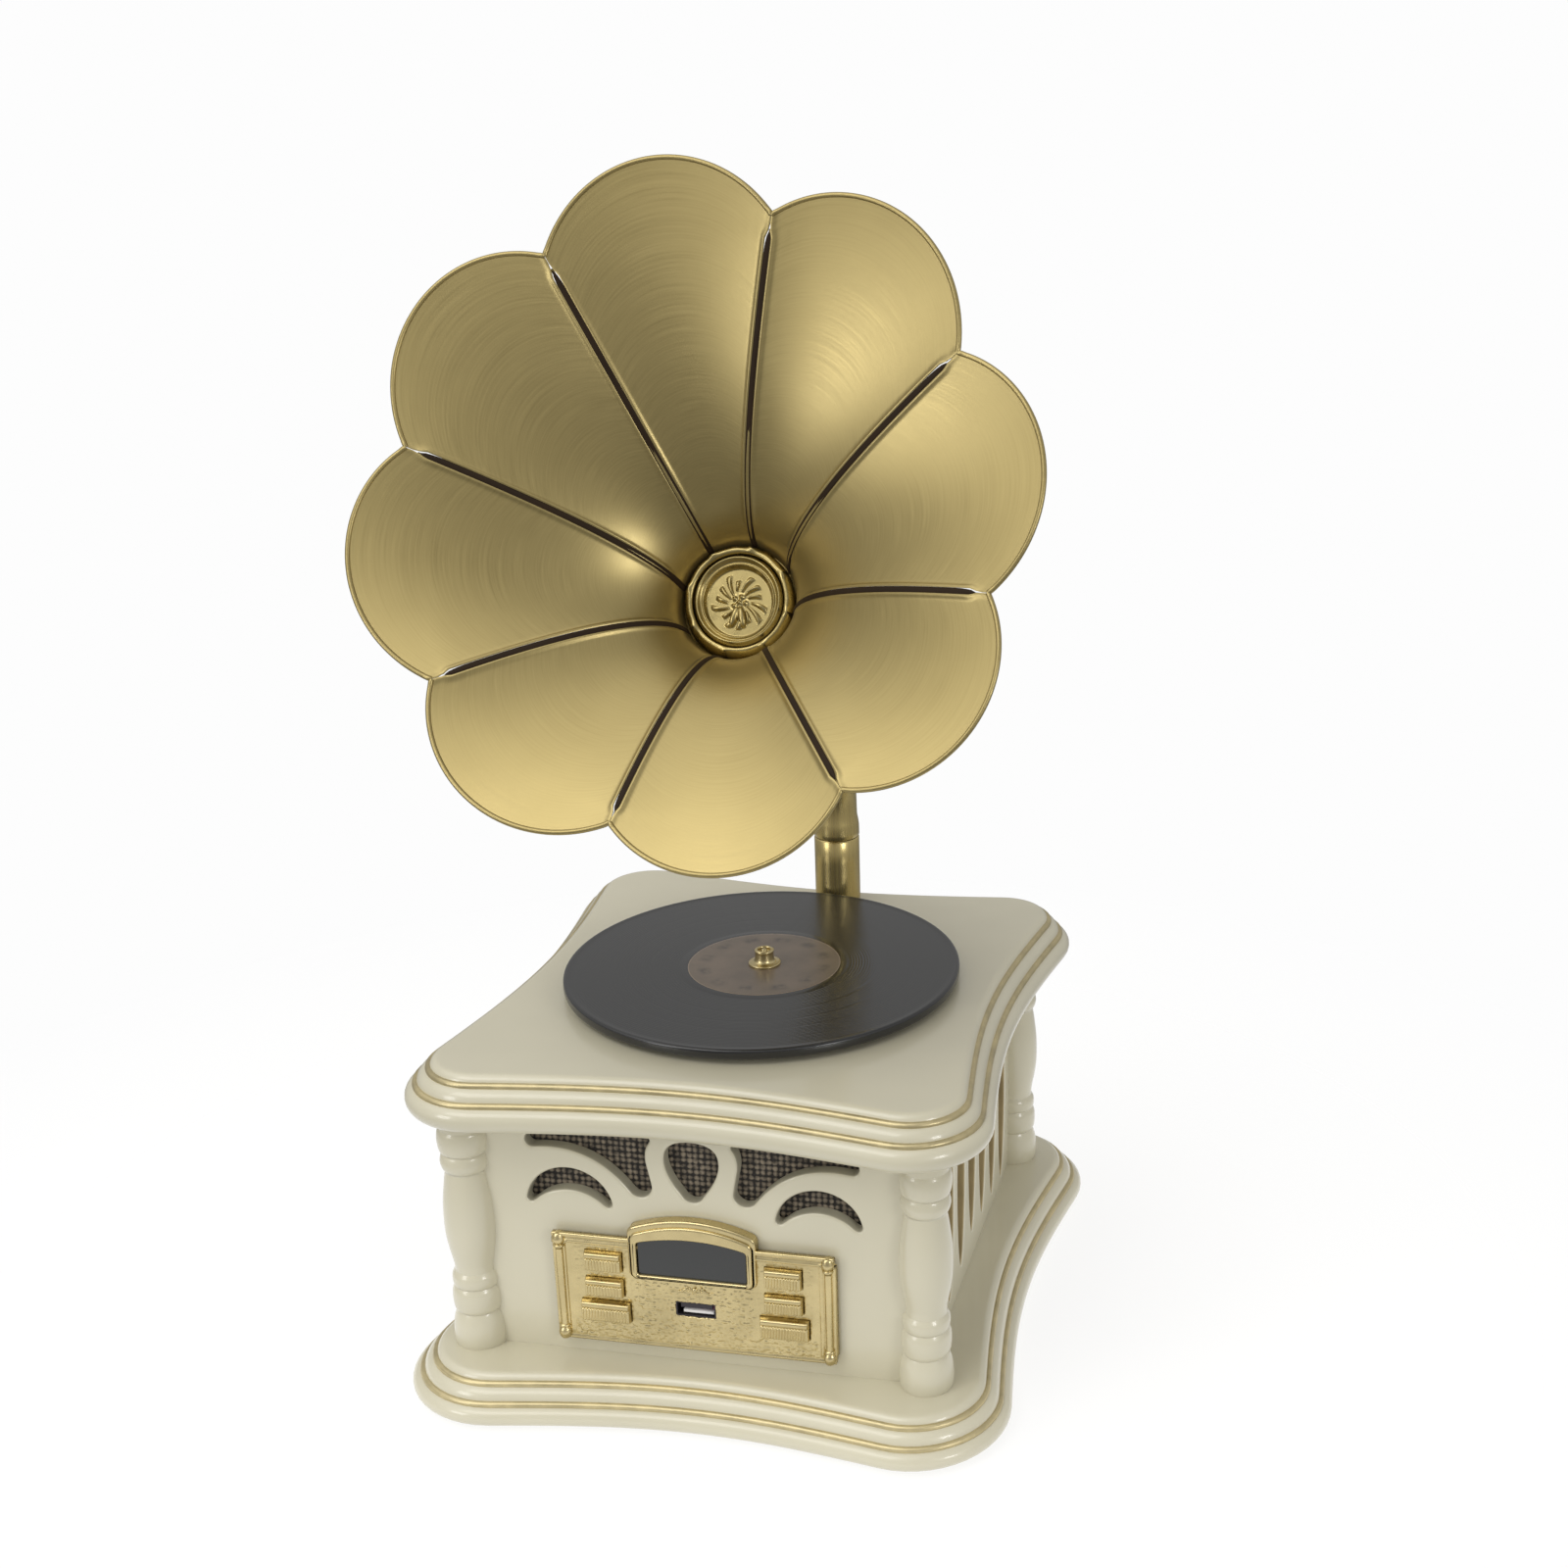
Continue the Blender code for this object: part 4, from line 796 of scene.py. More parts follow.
# (radius, height above the plinth) of the turned columns; a mark given twice is a sharp corner
COLUMN_MARKS = (
    (0, 0), (0, 0), (9.0, 0), (9.0, 0), (9.25, 1.6), (9.3, 4.6), (8.9, 8.8), (8.1, 11.6), (7.5, 13.0),
    (7.5, 13.0), (8.25, 14.1), (8.55, 16.2), (8.6, 18.6), (8.35, 20.9), (7.5, 22.8), (7.5, 22.8),
    (7.95, 23.5), (8.15, 25.3), (7.95, 27.0), (7.0, 28.7), (7.0, 28.7), (7.1, 31.0), (7.6, 34.2),
    (8.3, 38.2), (8.95, 44.2), (8.85, 53.5), (7.95, 61.6), (7.05, 67.3), (7.05, 67.3), (7.9, 68.4),
    (8.4, 70.7), (7.95, 73.0), (7.4, 74.0), (7.4, 74.0), (8.35, 75.2), (8.8, 78.8), (8.5, 81.8),
    (7.85, 83.2), (7.85, 83.2), (7.9, 92), (7.9, 92), (0, 92), (0, 92),
)
COLUMN_X, COLUMN_Y = SIDE + 0.9, BACK - 1.6


class GRAMOPHONE_OT_columns(bpy.types.Operator):
    """Makes the four turned corner columns"""

    bl_idname = "gramophone.columns"
    bl_label = "Columns"

    def execute(self, context):
        profile = turning(COLUMN_MARKS, 6)
        profile[:, 1] = PLINTH_TOP + profile[:, 1] * (LID_BASE - PLINTH_TOP) / COLUMN_MARKS[-1][1]
        for y_word, y in (("front", -COLUMN_Y), ("back", COLUMN_Y)):
            for x_word, x in (("left", BODY_X - COLUMN_X), ("right", BODY_X + COLUMN_X)):
                place = f"{y_word}_{x_word}"
                add_piece(f"turning_{place}", [lathe(profile, 64, (x, y))], cream(), "case", "cream_lacquer",
                          [f"column_{place}"], sharp=60)
        return {"FINISHED"}


# ---------------------------------------------------------------- panels


def arc(centre, radius, start, end, steps):
    angle = np.radians(np.linspace(start, end, steps + 1))
    return np.array(centre) + radius * np.stack([np.cos(angle), np.sin(angle)], -1)


def teardrop():
    """A drop with a broad round top and a narrow round foot."""
    side = [(6.2, 85.1), (8.4, 89.5), (9.4, 94.0), (8.7, 98.0), (6.3, 100.4), (2.6, 101.5)]
    return eased([*arc((0, 83.2), 4.0, -160, -20, 8), *side, *((-x, z) for x, z in side[::-1])])


def wing(side):
    """A wing with a rounded tip, a sagging lower edge (a curve drawn by three points) and a round lobe at
    its inner foot."""
    top = arc((15.7, 100.8), 1.8, 180, 90, 6)
    tip = arc((54.6, 97.5), 2.4, 80, -90, 10)
    t = np.linspace(0, 1, 14)[1:, None]
    low = (1 - t) ** 2 * tip[-1] + 2 * t * (1 - t) * np.array((34.0, 98.5)) + t**2 * np.array((21.3, 81.0))
    lobe = arc((18.2, 83.6), 4.1, -40, -180, 10)[1:]
    brow = np.linspace(top[-1], tip[0], 8)[1:-1]
    loop = np.concatenate([top, brow, tip, low, lobe, [(15.3, 90), (16.1, 94), (15.6, 98)]])
    return eased(loop * (side, 1))


def crescent(side):
    """The space between two arcs, closed by small round ends."""
    outer = arc((43.0, 72.9), 15.0, 172, 8, 22)
    inner = arc((43.0, 62.9), 16.9, 45, 135, 18)
    loop = np.concatenate([outer, [outer[-1] - (1.3, 1.1)], inner, [outer[0] + (1.3, -1.1)]])
    return eased(loop * (side, 1))


LEAVES, LEAF_PITCH, LEAF_HALF = 7, 19.0, 6.2
LEAF_FOOT, LEAF_TOP, LEAF_FALL = 28.0, 98.0, 3.0


def leaf(index):
    """A slender opening with narrow round ends: its half width follows a sine raised to 0.55. Each one
    starts and ends lower the further it stands from the middle."""
    from_middle = index - LEAVES // 2
    drop = LEAF_FALL * abs(from_middle)
    t = (1 - np.cos(pi * np.linspace(0, 1, 29))) / 2
    half = LEAF_HALF * np.maximum(np.sin(pi * t), 0) ** 0.55
    rise = LEAF_FOOT - drop + (LEAF_TOP - LEAF_FOOT) * t
    right = np.stack([LEAF_PITCH * from_middle + half, rise], -1)
    left = np.stack([LEAF_PITCH * from_middle - half, rise], -1)[-2:0:-1]
    return np.concatenate([right, left])


def rectangle(low_x, high_x, low_z, high_z):
    return np.array(((low_x, low_z), (high_x, low_z), (high_x, high_z), (low_x, high_z)), float)


class GRAMOPHONE_OT_panels(bpy.types.Operator):
    """Makes the pierced front and side panels"""

    bl_idname = "gramophone.panels"
    bl_label = "Panels"

    def execute(self, context):
        hatch = np.array(((42, 30), (42, 61), (20.3, 61), (20.3, 68.6)))
        hatch = np.roll(np.concatenate([hatch, hatch[::-1] * (-1, 1)]), 1, 0)
        holes = [teardrop(), wing(-1), wing(1), crescent(-1), crescent(1), hatch]
        # The front openings' walls are the lacquer darkened to 0.62: painted shade inside the openings.
        wall = plain("opening_wall", shade(settings().case.lacquer, 0.62), 0.5)
        self.fascia("front", SIDE, holes, settings().case.rim_round / MM, on_front(FRONT), wall)
        gold = plain("opening_gold", (0.42, 0.325, 0.165), 0.42, 0.25)
        for word, side in (("left", -1), ("right", 1)):
            half = box_mm(f"{word}_panel")[1][1]
            self.fascia(word, half, [leaf(i) for i in range(LEAVES)], 0.9, on_side(SIDE, side), gold)
        refinish(["back_panel"], cream())
        return {"FINISHED"}

    def fascia(self, word, half, holes, edge, place, wall):
        """A pierced panel: the rounded part of every rim keeps the face's finish, its wall gets another (on
        the front the lacquer darkened as painted shade, on the sides gold).
        """
        outer = rectangle(-half, half, PLINTH_TOP - 0.8, LID_BASE + 0.8)
        surfaces, rims = pierced_plate(outer, holes, PANEL_THICK, edge, place)
        finishes = [cream()] * len(surfaces)
        for points, faces, places in rims:
            across = len(np.unique(faces)) // 8
            inner = faces.min(1) >= across * 4
            surfaces += [(points, faces[~inner], places[~inner]), (points, faces[inner], places[inner])]
            finishes += [cream(), wall]
        add_piece(f"{word}_fascia", surfaces, finishes, "case", "cream_lacquer", [f"{word}_panel"])


def basket(pitch, swell):
    """Height of a plain weave: round threads across and along that pass over and under each other in
    half waves, with the higher one seen."""

    def height(u, v):
        a, b = u / pitch, v / pitch
        across, up = a - np.round(a), b - np.round(b)
        warp = np.cos(pi * (b + np.round(a))) * 0.5 + np.sqrt(np.maximum(1 - (across / 0.47) ** 2, 0)) * 0.9
        weft = -np.cos(pi * (a + np.round(b))) * 0.5 + np.sqrt(np.maximum(1 - (up / 0.47) ** 2, 0)) * 0.9
        return swell * np.maximum(warp, weft)

    return height


def threads_marked(surfaces, axis, face, top):
    """Writes each point's height above the cloth's ground, from 0 to 1, where the UV's second number is; the
    cloth's finish paints the higher points lighter as a painted highlight.
    """
    points, faces, _ = surfaces[0]
    lift = np.clip(np.abs(points[:, axis] - face) / top, 0, 1)[faces]
    return [(points, faces, np.stack([lift, lift], -1)), *surfaces[1:]]


class GRAMOPHONE_OT_cloth(bpy.types.Operator):
    """Makes the woven cloth behind the openings"""

    bl_idname = "gramophone.cloth"
    bl_label = "Grille cloth"

    def execute(self, context):
        case = settings().case
        woven = shared("grille_weave", weave, case.cloth, case.crown_highlight)
        pitch = case.thread_pitch / MM
        swell, thick, inset = 0.36, 0.55, 0.45
        low, high = box_mm("front_cloth")
        across = np.arange(low[0] - BODY_X, high[0] - BODY_X, pitch / 7)
        up = np.arange(max(low[2], 60.0), high[2], pitch / 7)
        face = low[1] + inset
        front = relief(across, up, basket(pitch, swell), thick, on_front(face))
        add_piece("front_weave", threads_marked(front, 1, face, 0.5), woven, "case", "grille_cloth",
                  ["front_cloth"])
        for word, side in (("left", -1), ("right", 1)):
            low, high = box_mm(f"{word}_cloth")
            across = np.arange(low[1], high[1], pitch / 4)
            up = np.arange(low[2], high[2], pitch / 4)
            face = max(abs(low[0] - BODY_X), abs(high[0] - BODY_X)) - inset
            cloth = relief(across, up, basket(pitch, swell), thick, on_side(face, side))
            marked = threads_marked(cloth, 0, BODY_X + side * face, 0.5)
            add_piece(f"{word}_weave", marked, woven, "case", "grille_cloth", [f"{word}_cloth"])
        return {"FINISHED"}


# ---------------------------------------------------------------- control panel

KEY_ROWS = ((55.4, 12.6, 7.0), (45.3, 13.0, 6.4), (35.8, 16.8, 7.4))
KEY_X = 31.2
USB_Z = 39.1
BEZEL_HALF, BEZEL_LOW, BEZEL_HIGH = 48.7, 23.4, 65.0
BALL_X, BALL_LOW, BALL_HIGH = 46.6, 25.8, 62.5


def key_places():
    """(node, middle across, middle height, width, height) of each key."""
    found = []
    for side, word in ((-1, "left"), (1, "right")):
        for row, (middle, width, tall) in enumerate(KEY_ROWS, 1):
            found.append((f"key_{word}_{row}", side * KEY_X, middle, width, tall))
    return found


def crowned(half, foot, spring, crown, corner=1.2, steps=24):
    """A rectangle with rounded corners whose top is a flat arch through the crown."""
    rise = crown - spring
    radius = (half * half + rise * rise) / (2 * rise)
    spread = atan2(half, radius - rise) * 180 / pi
    trim = corner / radius * 180 / pi
    top = arc((0, crown - radius), radius, 90 - spread + trim, 90 + spread - trim, steps)
    foot_left = arc((-half + corner, foot + corner), corner, 180, 270, 5)
    foot_right = arc((half - corner, foot + corner), corner, -90, 0, 5)
    t = np.linspace(0, 1, 6)[:-1, None]
    shoulder = np.array((half, spring - corner)), np.array((half, spring)), top[0]
    right = (1 - t) ** 2 * shoulder[0] + 2 * t * (1 - t) * shoulder[1] + t**2 * shoulder[2]
    left = (right * (-1, 1))[::-1]
    return np.concatenate([foot_left, foot_right, right, top, left])


def pebbles(u, v, size, seed=7):
    """Hammered ground: one seed point strays in each cell of a grid, and the height falls with the
    square of the distance to the nearest seed."""
    random = np.random.default_rng(seed)
    stray = random.uniform(0.15, 0.85, (200, 100, 2))
    lift = random.uniform(0.45, 1.0, (200, 100))
    i, j = np.floor(u / size).astype(int), np.floor(v / size).astype(int)
    best = np.full(u.shape, 9.0)
    height = np.zeros(u.shape)
    for di in (-1, 0, 1):
        for dj in (-1, 0, 1):
            a, b = (i + di) % 200, (j + dj) % 100
            far = np.hypot(u / size - (i + di) - stray[a, b, 0], v / size - (j + dj) - stray[a, b, 1])
            nearer = far < best
            height = np.where(nearer, lift[a, b], height)
            best = np.minimum(best, far)
    return height * np.maximum(1 - (best / 0.75) ** 2, 0)


def step(value, start, end):
    """A smooth rise from 0 at start to 1 at end."""
    t = np.clip((value - start) / (end - start), 0, 1)
    return t * t * (3 - 2 * t)


def ground_height(u, v):
    """Face of the casting: hammered in the lower middle and along the foot, reeded beside the keys, with a
    stepped rail along its top and a lip round its edge."""
    size = settings().panel.pebble / MM
    reach = np.abs(u)
    hammered = (1 - step(v, 49.5, 51.0)) * (1 - step(reach, 19.5, 23.0))
    hammered = np.maximum(hammered, (1 - step(v, 30.6, 31.8)) * (1 - step(reach, 41.8, 43.2)))
    hammered = np.maximum(hammered, 0.45 * (1 - step(reach, 41.0, 42.0)) * (1 - step(v, 60.0, 61.2)))
    hammered *= step(v, BEZEL_LOW + 1.2, BEZEL_LOW + 2.0)
    reeds = np.zeros(u.shape)
    for line, tall in ((44.0, 0.45), (49.0, 0.3)):
        reeds += tall * np.exp(-(((reach - line) / 0.5) ** 2))
    reeds += 0.35 * step(reach, 44.6, 45.2)
    reeds *= step(v, BALL_LOW - 0.6, BALL_LOW + 0.6) * (1 - step(v, BALL_HIGH - 1, BALL_HIGH))
    rail = 0.8 * step(v, 61.0, 61.5) - 0.45 * step(v, 62.4, 62.8) + 0.75 * step(v, 63.4, 63.8)
    foot = 0.35 * (1 - step(v, BEZEL_LOW + 0.7, BEZEL_LOW + 1.3))
    return 0.45 * hammered * (pebbles(u, v, size) - 0.3) + reeds + rail + foot


def lines_between(low, high, spacing, exact):
    """Grid lines at an even spacing that also pass exactly through the given places."""
    even = np.linspace(low, high, int(round((high - low) / spacing)) + 1)
    exact = np.unique(np.round(exact, 4))
    far = np.abs(even[:, None] - exact[None, :]).min(1) > spacing * 0.45
    far[[0, -1]] = True
    return np.unique(np.round(np.concatenate([even[far], exact]), 4))


class GRAMOPHONE_OT_control_panel(bpy.types.Operator):
    """Makes the gilt casting, the display's frame and pane, the side rods, the ornament and the socket's
    inner parts"""

    bl_idname = "gramophone.control_panel"
    bl_label = "Control panel"

    def execute(self, context):
        self.casting()
        self.display_frame()
        self.rods()
        self.scroll()
        self.socket()
        return {"FINISHED"}

    def casting(self):
        """A sheet of relief with the cells of each slot left out, thickened backwards."""
        slots = [(x - w / 2 - 0.3, x + w / 2 + 0.3, z - h / 2 - 0.3, z + h / 2 + 0.3)
                 for _, x, z, w, h in key_places()]
        slots.append((-7.1, 7.1, USB_Z - 2.9, USB_Z + 2.9))
        slots.append((-18.8, 18.8, 51.9, BEZEL_HIGH))
        across = lines_between(-BEZEL_HALF, BEZEL_HALF, 0.33, [edge for slot in slots for edge in slot[:2]])
        up = lines_between(BEZEL_LOW, BEZEL_HIGH, 0.33, [edge for slot in slots for edge in slot[2:]])
        u, v = np.meshgrid(across, up)
        points = on_front(BEZEL_FACE)(u, v, -ground_height(u, v))
        mid_u = (u[:-1, :-1] + u[1:, 1:]) / 2
        mid_v = (v[:-1, :-1] + v[1:, 1:]) / 2
        keep = np.ones(mid_u.shape, bool)
        for left, right, low, high in slots:
            keep &= ~((mid_u > left) & (mid_u < right) & (mid_v > low) & (mid_v < high))
        sheet = skin(points, keep=keep)
        piece = gilt_piece("bezel_casting", [sheet], ["control_bezel"], closed=False, sharp=50)
        wall = piece.modifiers.new("wall", "SOLIDIFY")
        wall.thickness = 1.9 * MM
        wall.offset = -1

    def display_frame(self):
        """Two nested plates, each with an arched top, round the smoked pane of the display."""
        surfaces = []
        for outline, hole, front, edge in (
            (crowned(22.2, 50.4, 69.4, 74.1, 2.2), crowned(20.3, 51.6, 66.2, 70.2), 1.4, 0.9),
            (crowned(21.0, 50.7, 67.4, 71.9, 2.0), crowned(19.0, 52.1, 64.4, 67.1), 2.2, 0.75),
        ):
            place = on_front(BEZEL_FACE - front)
            body, rims = pierced_plate(outline, [hole], front + 2.1, edge, place, 6)
            surfaces += [*body, *rims]
        gilt_piece("display_frame", surfaces, sharp=50)
        outline = crowned(18.75, 51.9, 64.5, 67.2)
        pane, _ = pierced_plate(outline, [], 2.6, 0.15, on_front(BEZEL_FACE - 1.1), 3)
        smoked = shared("display_pane", display_pane, settings().panel.pane)
        add_piece("display_glass", pane, smoked, "case", "smoked_pane", ["display_window"])

    def rods(self):
        """A rod with a ball and collars at each end, turned on one vertical axis."""
        low, high = BALL_LOW, BALL_HIGH
        half = [(0, low - 2.8), (0, low - 2.8), (1.5, low - 2.3), (2.15, low - 0.9), (2.3, low),
                (2.1, low + 1.0), (1.5, low + 2.0), (1.5, low + 2.0), (1.9, low + 2.3), (1.9, low + 2.9),
                (1.4, low + 3.3), (1.4, low + 3.3), (1.4, low + 10)]
        profile = turning([*half, *((r, low + high - z) for r, z in half[::-1])], 5)
        for word, side in (("left", -1), ("right", 1)):
            rod = lathe(profile, 28, (BODY_X + side * BALL_X, BEZEL_FACE - 0.1))
            gilt_piece(f"bezel_rod_{word}", [rod], sharp=50)

    def scroll(self):
        """A small symmetric scroll in relief above the socket."""
        t = np.linspace(0, 1, 40)
        surfaces = []
        for side in (-1, 1):
            sweep = 1.5 + 5.0 * t
            wave = USB_Z + 7.6 + 0.75 * np.sin(2 * pi * t) * (1 - 0.4 * t)
            path = np.stack([BODY_X + side * sweep, np.full(40, BEZEL_FACE - 0.05), wave], -1)
            surfaces.append(tube(path, 0.42 * np.sin(pi * np.clip(t * 0.9 + 0.06, 0, 1)) + 0.08, 10))
            curl = 2 * pi * t * 1.1
            ring = np.stack([BODY_X + side * (2.3 + 0.75 * np.cos(curl)), np.full(40, BEZEL_FACE - 0.1),
                             USB_Z + 8.2 + 0.75 * np.sin(curl)], -1)
            surfaces.append(tube(ring, 0.3, 8, side_hint=np.array((0, 1.0, 0))))
        bud = smooth([(0, 0), (0, 0), (0.85, 0.2), (0.95, 0.55), (0.5, 0.95), (0, 1.05), (0, 1.05)], 4)
        points, faces, places = lathe(np.abs(bud), 20)
        x, z, lift = points.T
        points = np.stack([BODY_X + x, BEZEL_FACE + 0.2 - lift, USB_Z + 8.0 + z], -1)
        surfaces.append((points, faces, places))
        gilt_piece("bezel_scroll", surfaces, sharp=60)

    def socket(self):
        """The socket's tongue, a pink plate above it that is a painted highlight, and the finish of its
        shell.
        """
        white = plain("socket_tongue_white", (0.72, 0.70, 0.68), 0.35)
        # A pink plate above the tongue: a painted highlight inside the socket.
        pink_highlight = plain("socket_lining", (0.30, 0.025, 0.10), 0.3)
        front = box_mm("usb_socket")[0][1] + 0.75
        outline = rectangle(-4.6, 6.0, USB_Z - 1.8, USB_Z - 0.8)
        body, _ = pierced_plate(outline, [], 9.0, 0.2, on_front(front), 3)
        add_piece("socket_tongue", body, white, "case", "black_plastic")
        plate, _ = pierced_plate(rectangle(1.2, 6.2, USB_Z - 0.5, USB_Z + 2.0), [], 0.5, 0.1,
                                 on_front(front + 1.2), 2)
        add_piece("socket_lining", plate, pink_highlight, "case", "black_plastic")
        refinish(["usb_socket"], plain("socket_shell", (0.05, 0.045, 0.05), 0.35, 0.7))


def key_face(x, z, width, tall, pitch):
    """Height of a key's face: a half-round bar near its top and cosine flutes on a low block below, all
    falling away in a quarter round at the edges."""

    def height(u, v):
        a, b = np.abs(u - x), v - z
        bar = 0.75 * np.sqrt(np.maximum(1 - ((b - 0.33 * tall) / (0.17 * tall)) ** 2, 0))
        below_bar = 1 - step(b, 0.08 * tall, 0.15 * tall)
        flutes = 0.42 * (0.5 + 0.5 * np.cos(2 * pi * (u - x) / pitch)) * below_bar
        block = 0.35 * (1 - step(b, 0.10 * tall, 0.17 * tall))
        edge = np.minimum(width / 2 - a, tall / 2 - np.abs(b))
        fall = np.clip(edge / 0.55, 0, 1)
        return (bar + flutes + block) * np.sqrt(1 - (1 - fall) ** 2) - 0.35 * (1 - fall) ** 2

    return height


class GRAMOPHONE_OT_keys(bpy.types.Operator):
    """Makes the six keys, each with a smooth bar above a fluted face"""

    bl_idname = "gramophone.keys"
    bl_label = "Keys"

    def execute(self, context):
        pitch = settings().panel.flute_pitch / MM
        for name, x, z, width, tall in key_places():
            height = key_face(x, z, width, tall, pitch)
            across = np.linspace(x - width / 2, x + width / 2, int(width / 0.13) + 1)
            up = np.linspace(z - tall / 2, z + tall / 2, int(tall / 0.15) + 1)
            face = BEZEL_FACE - 1.75
            cap = relief(across, up, height, FRONT - face + 0.6, on_front(face))
            gilt_piece(f"{name}_cap", cap, [name], name, sharp=55)
        return {"FINISHED"}


# ---------------------------------------------------------------- turntable


class GRAMOPHONE_OT_turntable(bpy.types.Operator):
    """Makes the platter, the record, its label and the spindle's cap"""

    bl_idname = "gramophone.turntable"
    bl_label = "Turntable"

    def execute(self, context):
        turntable = settings().turntable
        centre = (0.0, RECORD_Y)
        black = shared("record_vinyl_grooves", vinyl, turntable.vinyl)
        label_radius = turntable.label_radius / MM
        top, base, rim, bore, nose = RECORD_TOP, RECORD_BASE, RECORD_RADIUS, 2.8, 0.9
        marks = [(bore, base), (rim - 1.2, base)]
        quarter = np.linspace(0, pi / 2, 6)
        marks += [(rim - nose * (1 - sin(a)), base + nose * (1 - cos(a))) for a in quarter]
        marks += [(rim - nose * (1 - cos(a)), top - nose * (1 - sin(a))) for a in quarter]
        marks += [(rim - 1.6, top - 0.02), (rim - 2.4, top - 0.16)]
        radii = np.linspace(rim - 2.9, label_radius + 3.5, 180)
        gap = np.zeros(len(radii))
        for track in (61.5, 54.2, 47.9, 41.0, 35.6):
            gap += np.exp(-(((radii - track) / 0.35) ** 2))
        grooves = top - 0.18 + 0.035 * (1 - gap) * (0.5 + 0.5 * np.cos(2 * pi * radii))
        marks += list(zip(radii, grooves))
        marks += [(radius, top - 0.05) for radius in (label_radius + 2.6, label_radius + 0.2, bore)]
        disc = lathe([*marks, marks[0]], 160, centre)
        add_piece("record_disc", [disc], black, "turntable", "record_vinyl", ["record"], sharp=60)

        paper = shared("record_label_paper", label_paper, turntable.label)
        hole, foot = 3.0, top - 0.1
        radii = np.linspace(hole, label_radius, 40)
        face = [(r, top + 0.06 * (1 - step(r, label_radius - 0.5, label_radius))) for r in radii]
        sheet = lathe([*face, (label_radius, foot), (hole, foot), face[0]], 96, centre)
        add_piece("record_label", [sheet], paper, "turntable", "record_vinyl", sharp=60)

        low, high = box_mm("platter")
        radius = high[0]
        edge = [(bore, low[2]), (radius - 0.5, low[2]), (radius, low[2] + 0.4), (radius, high[2] - 0.3),
                (radius - 0.3, high[2]), (bore, high[2]), (bore, low[2])]
        mat = plain("platter_rubber", (0.016, 0.016, 0.017), 0.6)
        add_piece("platter_disc", [lathe(edge, 96, centre)], mat, "turntable", "black_plastic", ["platter"])
        self.cap(centre, top)
        return {"FINISHED"}

    def cap(self, centre, top):
        """A flanged collar with a hollow crown round the spindle's tip."""
        marks = [(2.7, 0.1), (2.7, 0.1), (5.4, 0.1), (5.6, 0.1), (5.7, 0.35), (5.6, 0.75), (4.6, 1.0),
                 (4.1, 1.1), (3.75, 1.3), (3.5, 1.8), (3.35, 2.6), (3.3, 4.4), (3.45, 4.9), (3.4, 5.4),
                 (3.0, 5.7), (2.6, 5.75), (2.3, 5.5), (2.2, 5.0), (2.2, 4.6), (1.9, 4.4), (0, 4.4), (0, 4.4)]
        profile = np.concatenate([turning(marks, 4), [(0, 2.4), (2.7, 2.4), (2.7, 0.1)]])
        profile[:, 1] += top
        gilt_piece("cap_collar", [lathe(profile, 48, centre)], ["spindle_cap"], "turntable", sharp=50)
        marks = [(0, 6.3), (0, 6.3), (0.8, 6.15), (1.15, 5.6), (1.2, 5.0), (1.2, 4.2), (1.2, 4.2), (0, 4.2),
                 (0, 4.2)]
        tip = turning(marks, 4, top - 0.5)
        gilt_piece("cap_tip", [lathe(tip, 32, centre)], body="turntable", sharp=50)


# ---------------------------------------------------------------- horn


def in_horn(depth, radius, angle):
    """A point at this depth behind the mouth, on a circle parallel to the mouth about the slanting axis."""
    values = (np.asarray(value, float)[..., None] for value in (depth, radius, angle))
    depth, radius, angle = np.broadcast_arrays(*values)
    middle = MOUTH - depth * (MOUTH_AXIS + HORN_DROP / HORN_DEPTH * MOUTH_UP)
    return middle + radius * (np.cos(angle) * ACROSS + np.sin(angle) * MOUTH_UP)


def horn_to_world(points):
    """Turns a point of the horn's own frame about the post and moves it there."""
    turn = np.array(((cos(HORN_TURN), sin(HORN_TURN), 0), (-sin(HORN_TURN), cos(HORN_TURN), 0), (0, 0, 1)))
    return points @ turn + np.array((POST[0], POST[1], 0))


def horn_piece(name, surfaces, finish, stands_for=(), slot="brushed_brass", sharp=60):
    moved = [(horn_to_world(points), faces, places) for points, faces, places in surfaces]
    return add_piece(name, moved, finish, "horn", slot, stands_for, sharp=sharp)


def flare(radius):
    """Depth behind the mouth of the bell at this radius: the radius grows with the square of the distance
    from the throat."""
    along = np.sqrt(np.maximum((radius - THROAT_RADIUS) / (NOTCH_RADIUS - THROAT_RADIUS), 0))
    return HORN_DEPTH * (1 - along)


def lobe_edge(angle):
    """How far a petal reaches at this angle from its middle: an arc through its tip and both notches."""
    half = pi / PETALS
    chord = NOTCH_RADIUS * sin(half)
    rise = PETAL_RADIUS - NOTCH_RADIUS * cos(half)
    radius = (chord**2 + rise**2) / (2 * rise)
    middle = PETAL_RADIUS - radius
    return middle * np.cos(angle) + np.sqrt(np.maximum(radius**2 - (middle * np.sin(angle)) ** 2, 0))


